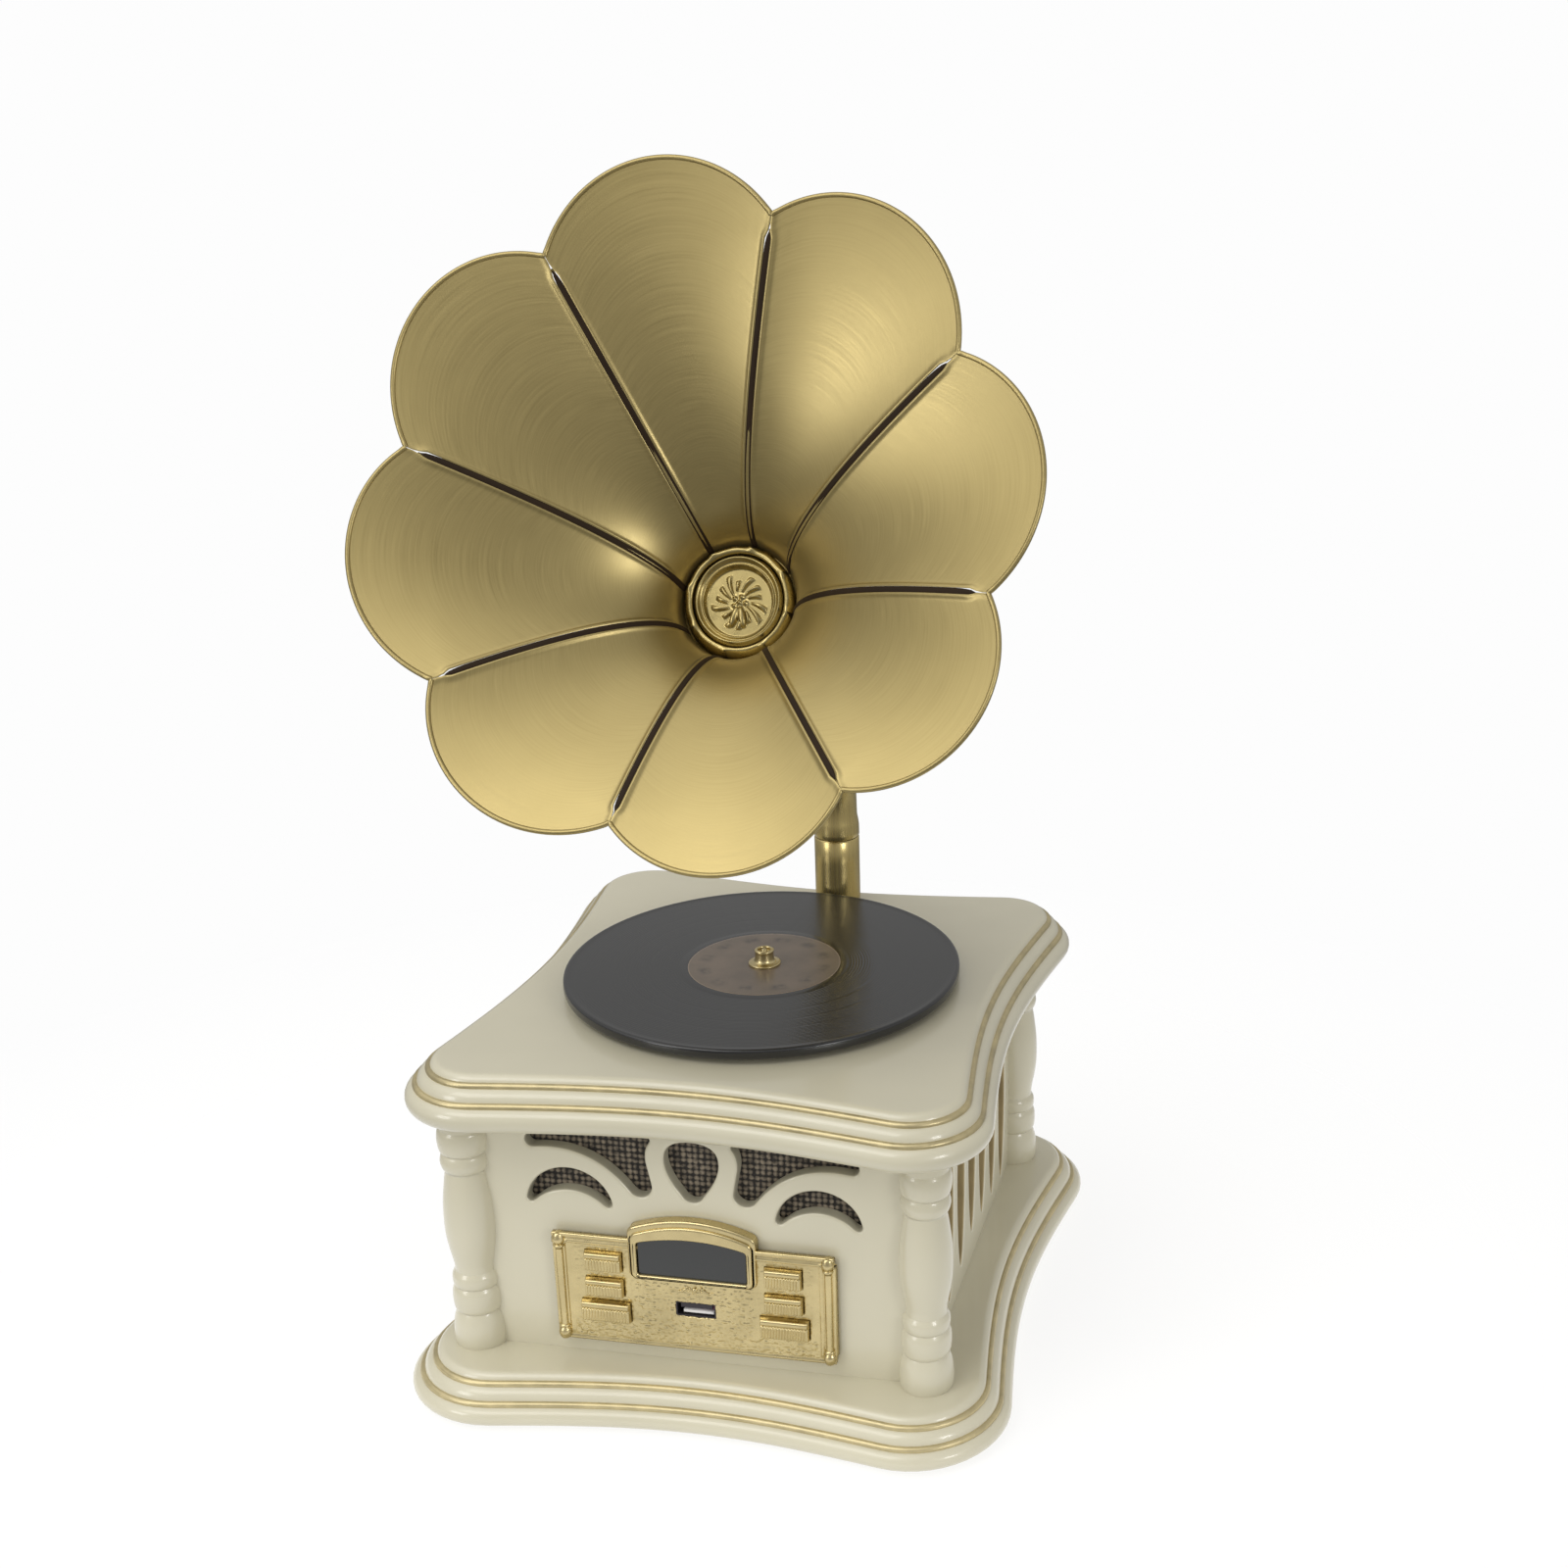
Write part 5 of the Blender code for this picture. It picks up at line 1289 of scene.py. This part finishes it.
def petal_surface(number, divisions, seam_half, lip):
    """A petal of the bell: it dishes towards its middle line, and its two long edges rise into a small
    lip. Rows run from the throat to the rim and columns across."""
    centre = pi / 2 + PETAL_TURN - number * 2 * pi / PETALS
    across = np.sin(pi / 2 * np.linspace(-1, 1, divisions + 1))[None, :]
    edge = lobe_edge(across * pi / PETALS)
    whole = np.sqrt((edge - THROAT_RADIUS) / (NOTCH_RADIUS - THROAT_RADIUS))
    along = np.linspace(0, 1, divisions + 1)[:, None] * whole
    radius = THROAT_RADIUS + (NOTCH_RADIUS - THROAT_RADIUS) * along**2
    closed_gap = 0.08
    open_part = 1 - step(radius, NOTCH_RADIUS - 5.0, NOTCH_RADIUS - 3.6)
    open_part = open_part * step(radius, THROAT_RADIUS + 1.5, THROAT_RADIUS + 3.5)
    gap = closed_gap + (seam_half - closed_gap) * open_part
    angle = centre + across * (pi / PETALS - gap / radius)
    depth = flare(radius) + PETAL_DISH * along * (1 - across**2)
    from_seam = (1 - np.abs(across)) * pi / PETALS * radius
    fade = open_part * step(radius, THROAT_RADIUS, THROAT_RADIUS + 4) + 0.35 * (1 - open_part)
    rise = lip * fade * np.exp(-(((from_seam - 0.55) / 0.75) ** 2)) * 1.5
    front = in_horn(depth - rise, radius, angle)
    along_u, along_v = np.gradient(front, axis=1), np.gradient(front, axis=0)
    outward = unit(np.cross(along_u, along_v))
    if (outward @ MOUTH_AXIS).mean() < 0:
        outward = -outward
    return front, outward


class GRAMOPHONE_OT_petals(bpy.types.Operator):
    """Makes the eight petals, their rolled rims, the dark seams and the ribs behind them"""

    bl_idname = "gramophone.petals"
    bl_label = "Petals"

    def execute(self, context):
        horn = settings().horn
        for number in range(1, PETALS + 1):
            front, outward = petal_surface(number - 1, horn.divisions, horn.seam_half / MM, horn.lip / MM)
            rim = tube(front[-1] - 0.35 * outward[-1], horn.rim_radius / MM, 12, side_hint=MOUTH_AXIS)
            surfaces = [*shell(front, front - 0.8 * outward), rim]
            horn_piece(f"petal_leaf_{number}", surfaces, petal_brass(), [f"petal_{number}"], sharp=55)
        for number in range(1, PETALS + 1):
            angle = pi / 2 + PETAL_TURN - (number - 0.5) * 2 * pi / PETALS
            self.seam(number, angle, horn.seam_half / MM + 0.1)
            self.rib(number, angle)
        return {"FINISHED"}

    def seam(self, number, angle, half, steps=90, rounded=5):
        """A flattened dark strip along the bell between two petals, its ends rounded over a few steps: the
        seam's dark fill, which also stands as painted shade in the groove.
        """
        radii = THROAT_RADIUS + 0.1 + (NOTCH_RADIUS - 4.1 - THROAT_RADIUS) * np.linspace(0, 1, steps) ** 2
        line = in_horn(flare(radii), radii, angle)
        square = unit(np.cross(np.gradient(line, axis=0), in_horn(0, 1, angle + pi / 2) - MOUTH))
        square *= np.sign(square @ MOUTH_AXIS)[:, None]
        from_end = np.minimum(np.arange(steps), np.arange(steps)[::-1]) / rounded
        thick = half * np.sqrt(1 - np.maximum(1 - from_end, 0) ** 2) + 0.02
        strip = tube(line + 0.1 * square, thick, 14, side_hint=square, flatten=0.36)
        # Dark seam fill that is also painted shade in the groove between the petals.
        dark = plain("seam_shadow", settings().horn.seam, 0.6, 0.0, 300.0, 0.15, {"Specular IOR Level": 0.15})
        horn_piece(f"seam_{number}", [strip], dark)

    def rib(self, number, angle, steps=60):
        """A round rib behind the seam, thinner towards its ends."""
        radii = THROAT_RADIUS + 0.3 + (NOTCH_RADIUS - 3.3 - THROAT_RADIUS) * np.linspace(0, 1, steps) ** 2
        line = in_horn(flare(radii) + 1.0, radii, angle)
        thick = np.maximum(1.25 * np.sqrt(np.sin(pi * np.linspace(0.02, 0.98, steps))), 0.5)
        horn_piece(f"seam_rib_{number}", [tube(line, thick, 14, side_hint=MOUTH_AXIS)], petal_brass())


class GRAMOPHONE_OT_throat(bpy.types.Operator):
    """Makes the pleated collar and the flower medallion"""

    bl_idname = "gramophone.throat"
    bl_label = "Throat"

    def execute(self, context):
        angle = np.linspace(0, 2 * pi, 192, endpoint=False)[None, :]
        bright = shared("throat_brass", gilt, "throat_brass", shade(settings().horn.brass, 0.92), 0.27)
        marks = [(6.0, 18.4), (6.0, 18.4), (1.0, 19.0), (-1.6, 18.9), (-3.2, 18.3), (-4.4, 17.2),
                 (-4.6, 16.3), (-4.2, 15.7), (-3.4, 15.5), (-3.4, 15.5), (6.0, 15.6), (6.0, 15.6)]
        depth, radius = smooth(marks, 6).T[:, :, None]
        seam = np.abs(((angle - pi / 2 - PETAL_TURN) / (2 * pi / PETALS)) % 1 - 0.5) * 2
        fold = (1 - step(seam, 0.0, 0.35)) * step(radius, 15.8, 18.0)
        ruck = 0.10 * np.cos(16 * angle + 1.6 * np.cos(3 * angle)) * step(radius, 16.5, 18.0)
        points = in_horn(HORN_DEPTH + depth - 0.7 * fold * step(-depth, -2, 3) + ruck, radius, angle)
        collar = skin(points, wrap_rows=True, wrap_columns=True)
        horn_piece("collar_pleats", [collar], bright, ["throat_collar"])

        rim = 15.1
        radius = np.concatenate([np.linspace(rim, 11.6, 40), np.linspace(11.5, 0.0, 90)])[:, None]
        points = in_horn(HORN_DEPTH - (3.4 + medallion(radius, angle)), radius, angle)
        back = in_horn(HORN_DEPTH + 1.0, np.array(((0.0,), (rim,))), angle)
        disc = skin(np.concatenate([back, points]), wrap_columns=True)
        horn_piece("medallion", [disc], bright, ["throat_rosette"], "gilt_casting")
        return {"FINISHED"}


def medallion(radius, angle):
    """Height of the medallion: a broad outer bead, a thin ring, a sunk disc, a spray of fourteen narrow
    curved blades of uneven length round a small rose, and two broad leaves at its foot."""
    outer = 1.25 * np.exp(-(((radius - 14.0) / 0.85) ** 2))
    inner = 0.55 * np.exp(-(((radius - 12.1) / 0.38) ** 2))
    sunk = -1.0 * (1 - step(radius, 10.9, 11.9))
    phase = (angle + 0.045 * radius) * 14 / (2 * pi)
    number = np.floor(phase) % 14
    start, reach = 3.3 + 0.7 * np.cos(1.7 * number), 8.6 + 1.2 * np.cos(2.4 * number)
    blade = np.sin(pi * np.clip((radius - start) / (reach - start), 0, 1)) ** 0.6
    across = np.abs(phase % 1 - 0.5) * 2 / 0.5
    spray = 0.95 * np.sqrt(np.maximum(1 - across**2, 0)) * blade
    rose = 0.7 * np.exp(-(((radius - 2.0) / 0.75) ** 2)) * (0.5 + 0.5 * np.cos(5 * angle))
    rose = rose + 0.8 * np.exp(-((radius / 0.8) ** 2))
    leaves = np.zeros(np.broadcast_shapes(radius.shape, angle.shape))
    for lean in (radians(-104), radians(-74)):
        along, aside = radius * np.cos(angle - lean), radius * np.sin(angle - lean)
        dome = np.maximum(1 - ((along - 5.0) / 3.6) ** 2 - (aside / 1.35) ** 2, 0)
        leaves = np.maximum(leaves, 1.5 * np.sqrt(dome))
    return outer + inner + sunk + np.maximum(np.maximum(spray, rose), leaves)


def elbow_path():
    """The bend's angle and the height where it starts: the elbow leaves the post upwards and turns until
    it points along the horn's slanting axis."""
    throat = MOUTH - HORN_DEPTH * MOUTH_AXIS - HORN_DROP * MOUTH_UP
    axis = (MOUTH - throat) / np.linalg.norm(MOUTH - throat)
    angle = acos(axis[2])
    rise = (throat[2] - throat[1] * axis[2] / axis[1]) - ELBOW_RADIUS * sin(angle)
    rise += ELBOW_RADIUS * (1 - cos(angle)) * axis[2] / -axis[1]
    return angle, rise


def bend(angle, start):
    """Middle and direction of the elbow after turning through the angle."""
    angle = np.asarray(angle, float)
    zero = np.zeros_like(angle)
    middle = np.stack([zero, -ELBOW_RADIUS * (1 - np.cos(angle)), start + ELBOW_RADIUS * np.sin(angle)], -1)
    return middle, np.stack([zero, -np.sin(angle), np.cos(angle)], -1)


class GRAMOPHONE_OT_post(bpy.types.Operator):
    """Makes the post, the elbow and the neck of the horn"""

    bl_idname = "gramophone.post"
    bl_label = "Post and elbow"

    def execute(self, context):
        finish = tube_brass()
        foot, radius, bore, pin, pin_top = LID_TOP - 11.0, 8.75, 5.6, 6.6, POST_TOP + 12
        post = np.array(((bore, foot), (radius, foot), (radius, POST_TOP - 0.5), (radius - 0.4, POST_TOP),
                         (pin, POST_TOP), (pin, pin_top), (bore, pin_top), (bore, foot)))
        rows = np.concatenate([np.linspace(a, b, 4, endpoint=False) for a, b in zip(post[:-1], post[1:])])
        add_piece("post_column", [lathe([*rows, rows[0]], 64, POST[:2])], finish, "case", "brushed_brass",
                  ["post_tube"], sharp=50)

        whole, start = elbow_path()
        joint_gap = 0.3
        foot_marks = np.array(((ELBOW_FOOT - 0.4, 0), (ELBOW_FOOT, 0.5), (ELBOW_FOOT, 2.0),
                               (ELBOW_FOOT - 0.05, 4.5), (ELBOW_FOOT - 0.3, 6.5), (ELBOW_TUBE + 0.1, 8.5)))
        base = foot_marks[:, 1:] * (0, 0, 1.0) + (0, 0, POST_TOP + joint_gap)
        turned, axes = bend(np.linspace(0, whole, 30), start)
        middles = np.concatenate([base, turned])
        axes = np.concatenate([np.tile((0, 0, 1.0), (len(base), 1)), axes])
        radii = np.concatenate([foot_marks[:, 0], np.full(len(turned), ELBOW_TUBE)])
        horn_piece("elbow_tube", [pipe(middles, axes, radii, 64, 1.0)], finish, ["elbow"], sharp=50)

        foot, axis = bend(whole, start)
        end = in_horn(HORN_DEPTH + 0.6, 0, 0)
        t = np.linspace(0, 1, 40)[:, None]
        lean = np.maximum(0, (t - 0.5) * 2)
        axes = unit(axis * (1 - lean) + MOUTH_AXIS * lean)
        radii = ELBOW_TUBE + (THROAT_RADIUS + 0.8 - ELBOW_TUBE) * t[:, 0] ** 1.4
        middles = (foot + joint_gap * axis) * (1 - t) + end * t
        horn_piece("neck_cone", [pipe(middles, axes, radii, 64, 1.0)], finish, ["neck"], sharp=50)
        along, swell = np.array(((-1.6, 0.1), (-1.0, 0.75), (0, 1.0), (1.0, 0.75), (1.6, 0.1))).T
        bead = pipe(foot + along[:, None] * axis, np.tile(axis, (5, 1)), ELBOW_TUBE + swell, 64, 0.6)
        horn_piece("neck_bead", [bead], finish, sharp=50)
        return {"FINISHED"}


# ---------------------------------------------------------------- the rest


class GRAMOPHONE_OT_fittings(bpy.types.Operator):
    """Gives the feet, the cover, the inlet and the inner pieces their finishes, and adds the screws"""

    bl_idname = "gramophone.fittings"
    bl_label = "Fittings"

    def execute(self, context):
        rubber = plain_finish("foot_rubber_matt", (0.025, 0.025, 0.025), 0.8, 0.0, 500.0, 0.3)
        plastic = plain_finish("black_moulding", (0.020, 0.020, 0.021), 0.42, 0.0, 700.0, 0.3)
        steel = plain_finish("zinc_steel", (0.56, 0.57, 0.58), 0.32, 1.0, 200.0, 0.1)
        board = plain_finish("board_green", (0.020, 0.130, 0.055), 0.38, 0.0, 400.0, 0.1)
        cone = plain_finish("cone_paper", (0.030, 0.029, 0.028), 0.85, 0.0, 900.0, 0.4)
        bronze = plain_finish("bush_bronze_matt", (0.52, 0.35, 0.16), 0.4, 1.0, 300.0, 0.1)
        refinish([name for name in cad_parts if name.startswith("foot_")], rubber)
        refinish(["bottom_cover", "display_module", "power_inlet"], plastic)
        refinish(["gear_motor", "spindle", "speaker_left_basket", "speaker_right_basket"], steel)
        refinish(["control_board", "main_board"], board)
        refinish(["speaker_left_cone", "speaker_right_cone"], cone)
        refinish(["spindle_bush"], bronze)
        base = box_mm("bottom_cover")[0][2]
        marks = [(0, -0.1), (0, -0.1), (0.7, -0.1), (0.7, -0.1), (1.6, -0.75), (2.3, -0.5), (2.5, 0.2),
                 (2.5, 0.2), (0, 0.2), (0, 0.2)]
        head = turning(marks, 4, base)
        for number, place in enumerate(((-60, -58), (60, -58), (-60, 58), (60, 58)), 1):
            add_piece(f"cover_screw_{number}", [lathe(head, 28, place)], steel, "case", "plated_steel")
        return {"FINISHED"}


# ---------------------------------------------------------------- stage


def soft_light(name, place, target_height, width, height, power, tone=(1, 1, 1)):
    """A rectangular light that points at a height on the middle axis."""
    light = bpy.data.lights.new(name, "AREA")
    light.shape = "RECTANGLE"
    light.size, light.size_y = width, height
    light.energy = power
    light.color = tone
    obj = bpy.data.objects.new(name, light)
    obj.location = place
    way = Vector((0, 0, target_height)) - obj.location
    obj.rotation_euler = way.to_track_quat("-Z", "Y").to_euler()
    bpy.context.scene.collection.objects.link(obj)


def make_camera():
    """A camera at the measured place: azimuth, elevation and roll in degrees, with the picture's centre
    shifted off the lens's axis."""
    azimuth, elevation, roll = radians(-6.4330), radians(20.5276), radians(1.9989)
    forward = Vector((sin(azimuth) * cos(elevation), cos(azimuth) * cos(elevation), -sin(elevation)))
    level = Vector((cos(azimuth), -sin(azimuth), 0))
    upward = level.cross(forward)
    right = cos(roll) * level + sin(roll) * upward
    up = -sin(roll) * level + cos(roll) * upward
    camera = bpy.data.cameras.new("camera")
    camera.sensor_width = 36
    camera.lens = 45.543
    camera.shift_x, camera.shift_y = -0.23046, 0.03671
    camera.clip_start, camera.clip_end = 0.01, 20
    obj = bpy.data.objects.new("camera", camera)
    turn = Matrix((right, up, -forward)).transposed().to_4x4()
    obj.matrix_world = Matrix.Translation((0.20795, -0.63531, 0.42851)) @ turn
    bpy.context.scene.collection.objects.link(obj)
    bpy.context.scene.camera = obj


class GRAMOPHONE_OT_stage(bpy.types.Operator):
    """Makes the pale floor, the soft lights and the camera"""

    bl_idname = "gramophone.stage"
    bl_label = "Stage"

    def execute(self, context):
        stage = settings().stage
        angle = np.linspace(0, 2 * pi, 96, endpoint=False)[None, :]
        radius = np.array((0, 0.2, 0.4, 0.6))[:, None]
        points = np.stack(np.broadcast_arrays(radius * np.cos(angle), radius * np.sin(angle), 0 * radius), -1)
        points, faces, _ = skin(points, wrap_columns=True)
        mesh = bpy.data.meshes.new("floor")
        mesh.from_pydata(points, [], faces.tolist())
        mesh.materials.append(paper_floor(stage.floor))
        floor = bpy.data.objects.new("floor", mesh)
        context.scene.collection.objects.link(floor)
        self.surroundings(stage.sky)
        soft_light("key_light", (-0.50, -0.86, 1.20), 0.15, 0.8, 0.6, stage.key_power, (1.0, 0.99, 0.96))
        soft_light("low_card", (-0.74, -0.88, 0.42), 0.28, 0.34, 0.40, stage.fill_power)
        soft_light("side_light", (0.98, -0.80, 0.50), 0.15, 0.3, 0.3, stage.side_power)
        make_camera()
        return {"FINISHED"}

    def surroundings(self, strength):
        """A pale room, brighter overhead and darker below; the camera sees it plain."""
        world = bpy.data.worlds.new("pale_room")
        bpy.context.scene.world = world
        world.use_nodes = True
        tree = world.node_tree
        for item in list(tree.nodes):
            tree.nodes.remove(item)
        direction = node(tree, "TexCoord").outputs["Generated"]
        parts = node(tree, "SeparateXYZ", {"Vector": direction})
        low = ranged(tree, parts.outputs["Z"], 0.26, 0.52, -0.3, 0.3)
        towards = node(tree, "VectorMath", {0: direction, 1: (-0.35, -0.25, 0.90)}, operation="DOT_PRODUCT")
        overhead = ranged(tree, towards.outputs["Value"], 0.0, 1.15, 0.74, 0.98)
        right = ranged(tree, parts.outputs["X"], 0.0, 0.10, 0.3, 0.9)
        total = maths(tree, "ADD", maths(tree, "ADD", low, overhead), right)
        power = maths(tree, "MULTIPLY", total, strength)
        light = node(tree, "Background", {"Color": (1.0, 0.995, 0.98, 1), "Strength": power})
        seen = node(tree, "Background", {"Color": (0.982, 0.982, 0.982, 1), "Strength": 1.0})
        camera_ray = node(tree, "LightPath").outputs["Is Camera Ray"]
        mixed = node(tree, "MixShader", {0: camera_ray, 1: light.outputs[0], 2: seen.outputs[0]})
        tree.links.new(mixed.outputs[0], node(tree, "OutputWorld").inputs["Surface"])
        bpy.context.scene.view_settings.view_transform = "Standard"


# ---------------------------------------------------------------- add-on

PIECES = (
    GRAMOPHONE_OT_lid, GRAMOPHONE_OT_plinth, GRAMOPHONE_OT_columns, GRAMOPHONE_OT_panels, GRAMOPHONE_OT_cloth,
    GRAMOPHONE_OT_control_panel, GRAMOPHONE_OT_keys, GRAMOPHONE_OT_turntable, GRAMOPHONE_OT_petals,
    GRAMOPHONE_OT_throat, GRAMOPHONE_OT_post, GRAMOPHONE_OT_fittings, GRAMOPHONE_OT_stage,
)


class GRAMOPHONE_PT_sidebar(bpy.types.Panel):
    """Lists the pieces and the settings"""

    bl_idname = "GRAMOPHONE_PT_sidebar"
    bl_label = "Gramophone"
    bl_space_type = "VIEW_3D"
    bl_region_type = "UI"
    bl_category = "Gramophone"

    def draw(self, context):
        layout = self.layout
        for operator in PIECES:
            layout.operator(operator.bl_idname)
        for name in ("case", "panel", "turntable", "horn", "stage"):
            group = getattr(context.scene.gramophone, name)
            box = layout.box()
            box.label(text=name.capitalize())
            for key in group.bl_rna.properties.keys():
                if key not in {"rna_type", "name"}:
                    box.prop(group, key)


CLASSES = (
    CaseSettings, PanelSettings, TurntableSettings, HornSettings, StageSettings, GramophoneSettings,
    *PIECES, GRAMOPHONE_PT_sidebar,
)


def register():
    for item in CLASSES:
        bpy.utils.register_class(item)
    bpy.types.Scene.gramophone = PointerProperty(type=GramophoneSettings)


def unregister():
    del bpy.types.Scene.gramophone
    for item in reversed(CLASSES):
        bpy.utils.unregister_class(item)


def main():
    register()
    for operator in PIECES:
        getattr(bpy.ops.gramophone, operator.bl_idname.split(".")[1])()


if __name__ == "__main__":
    main()
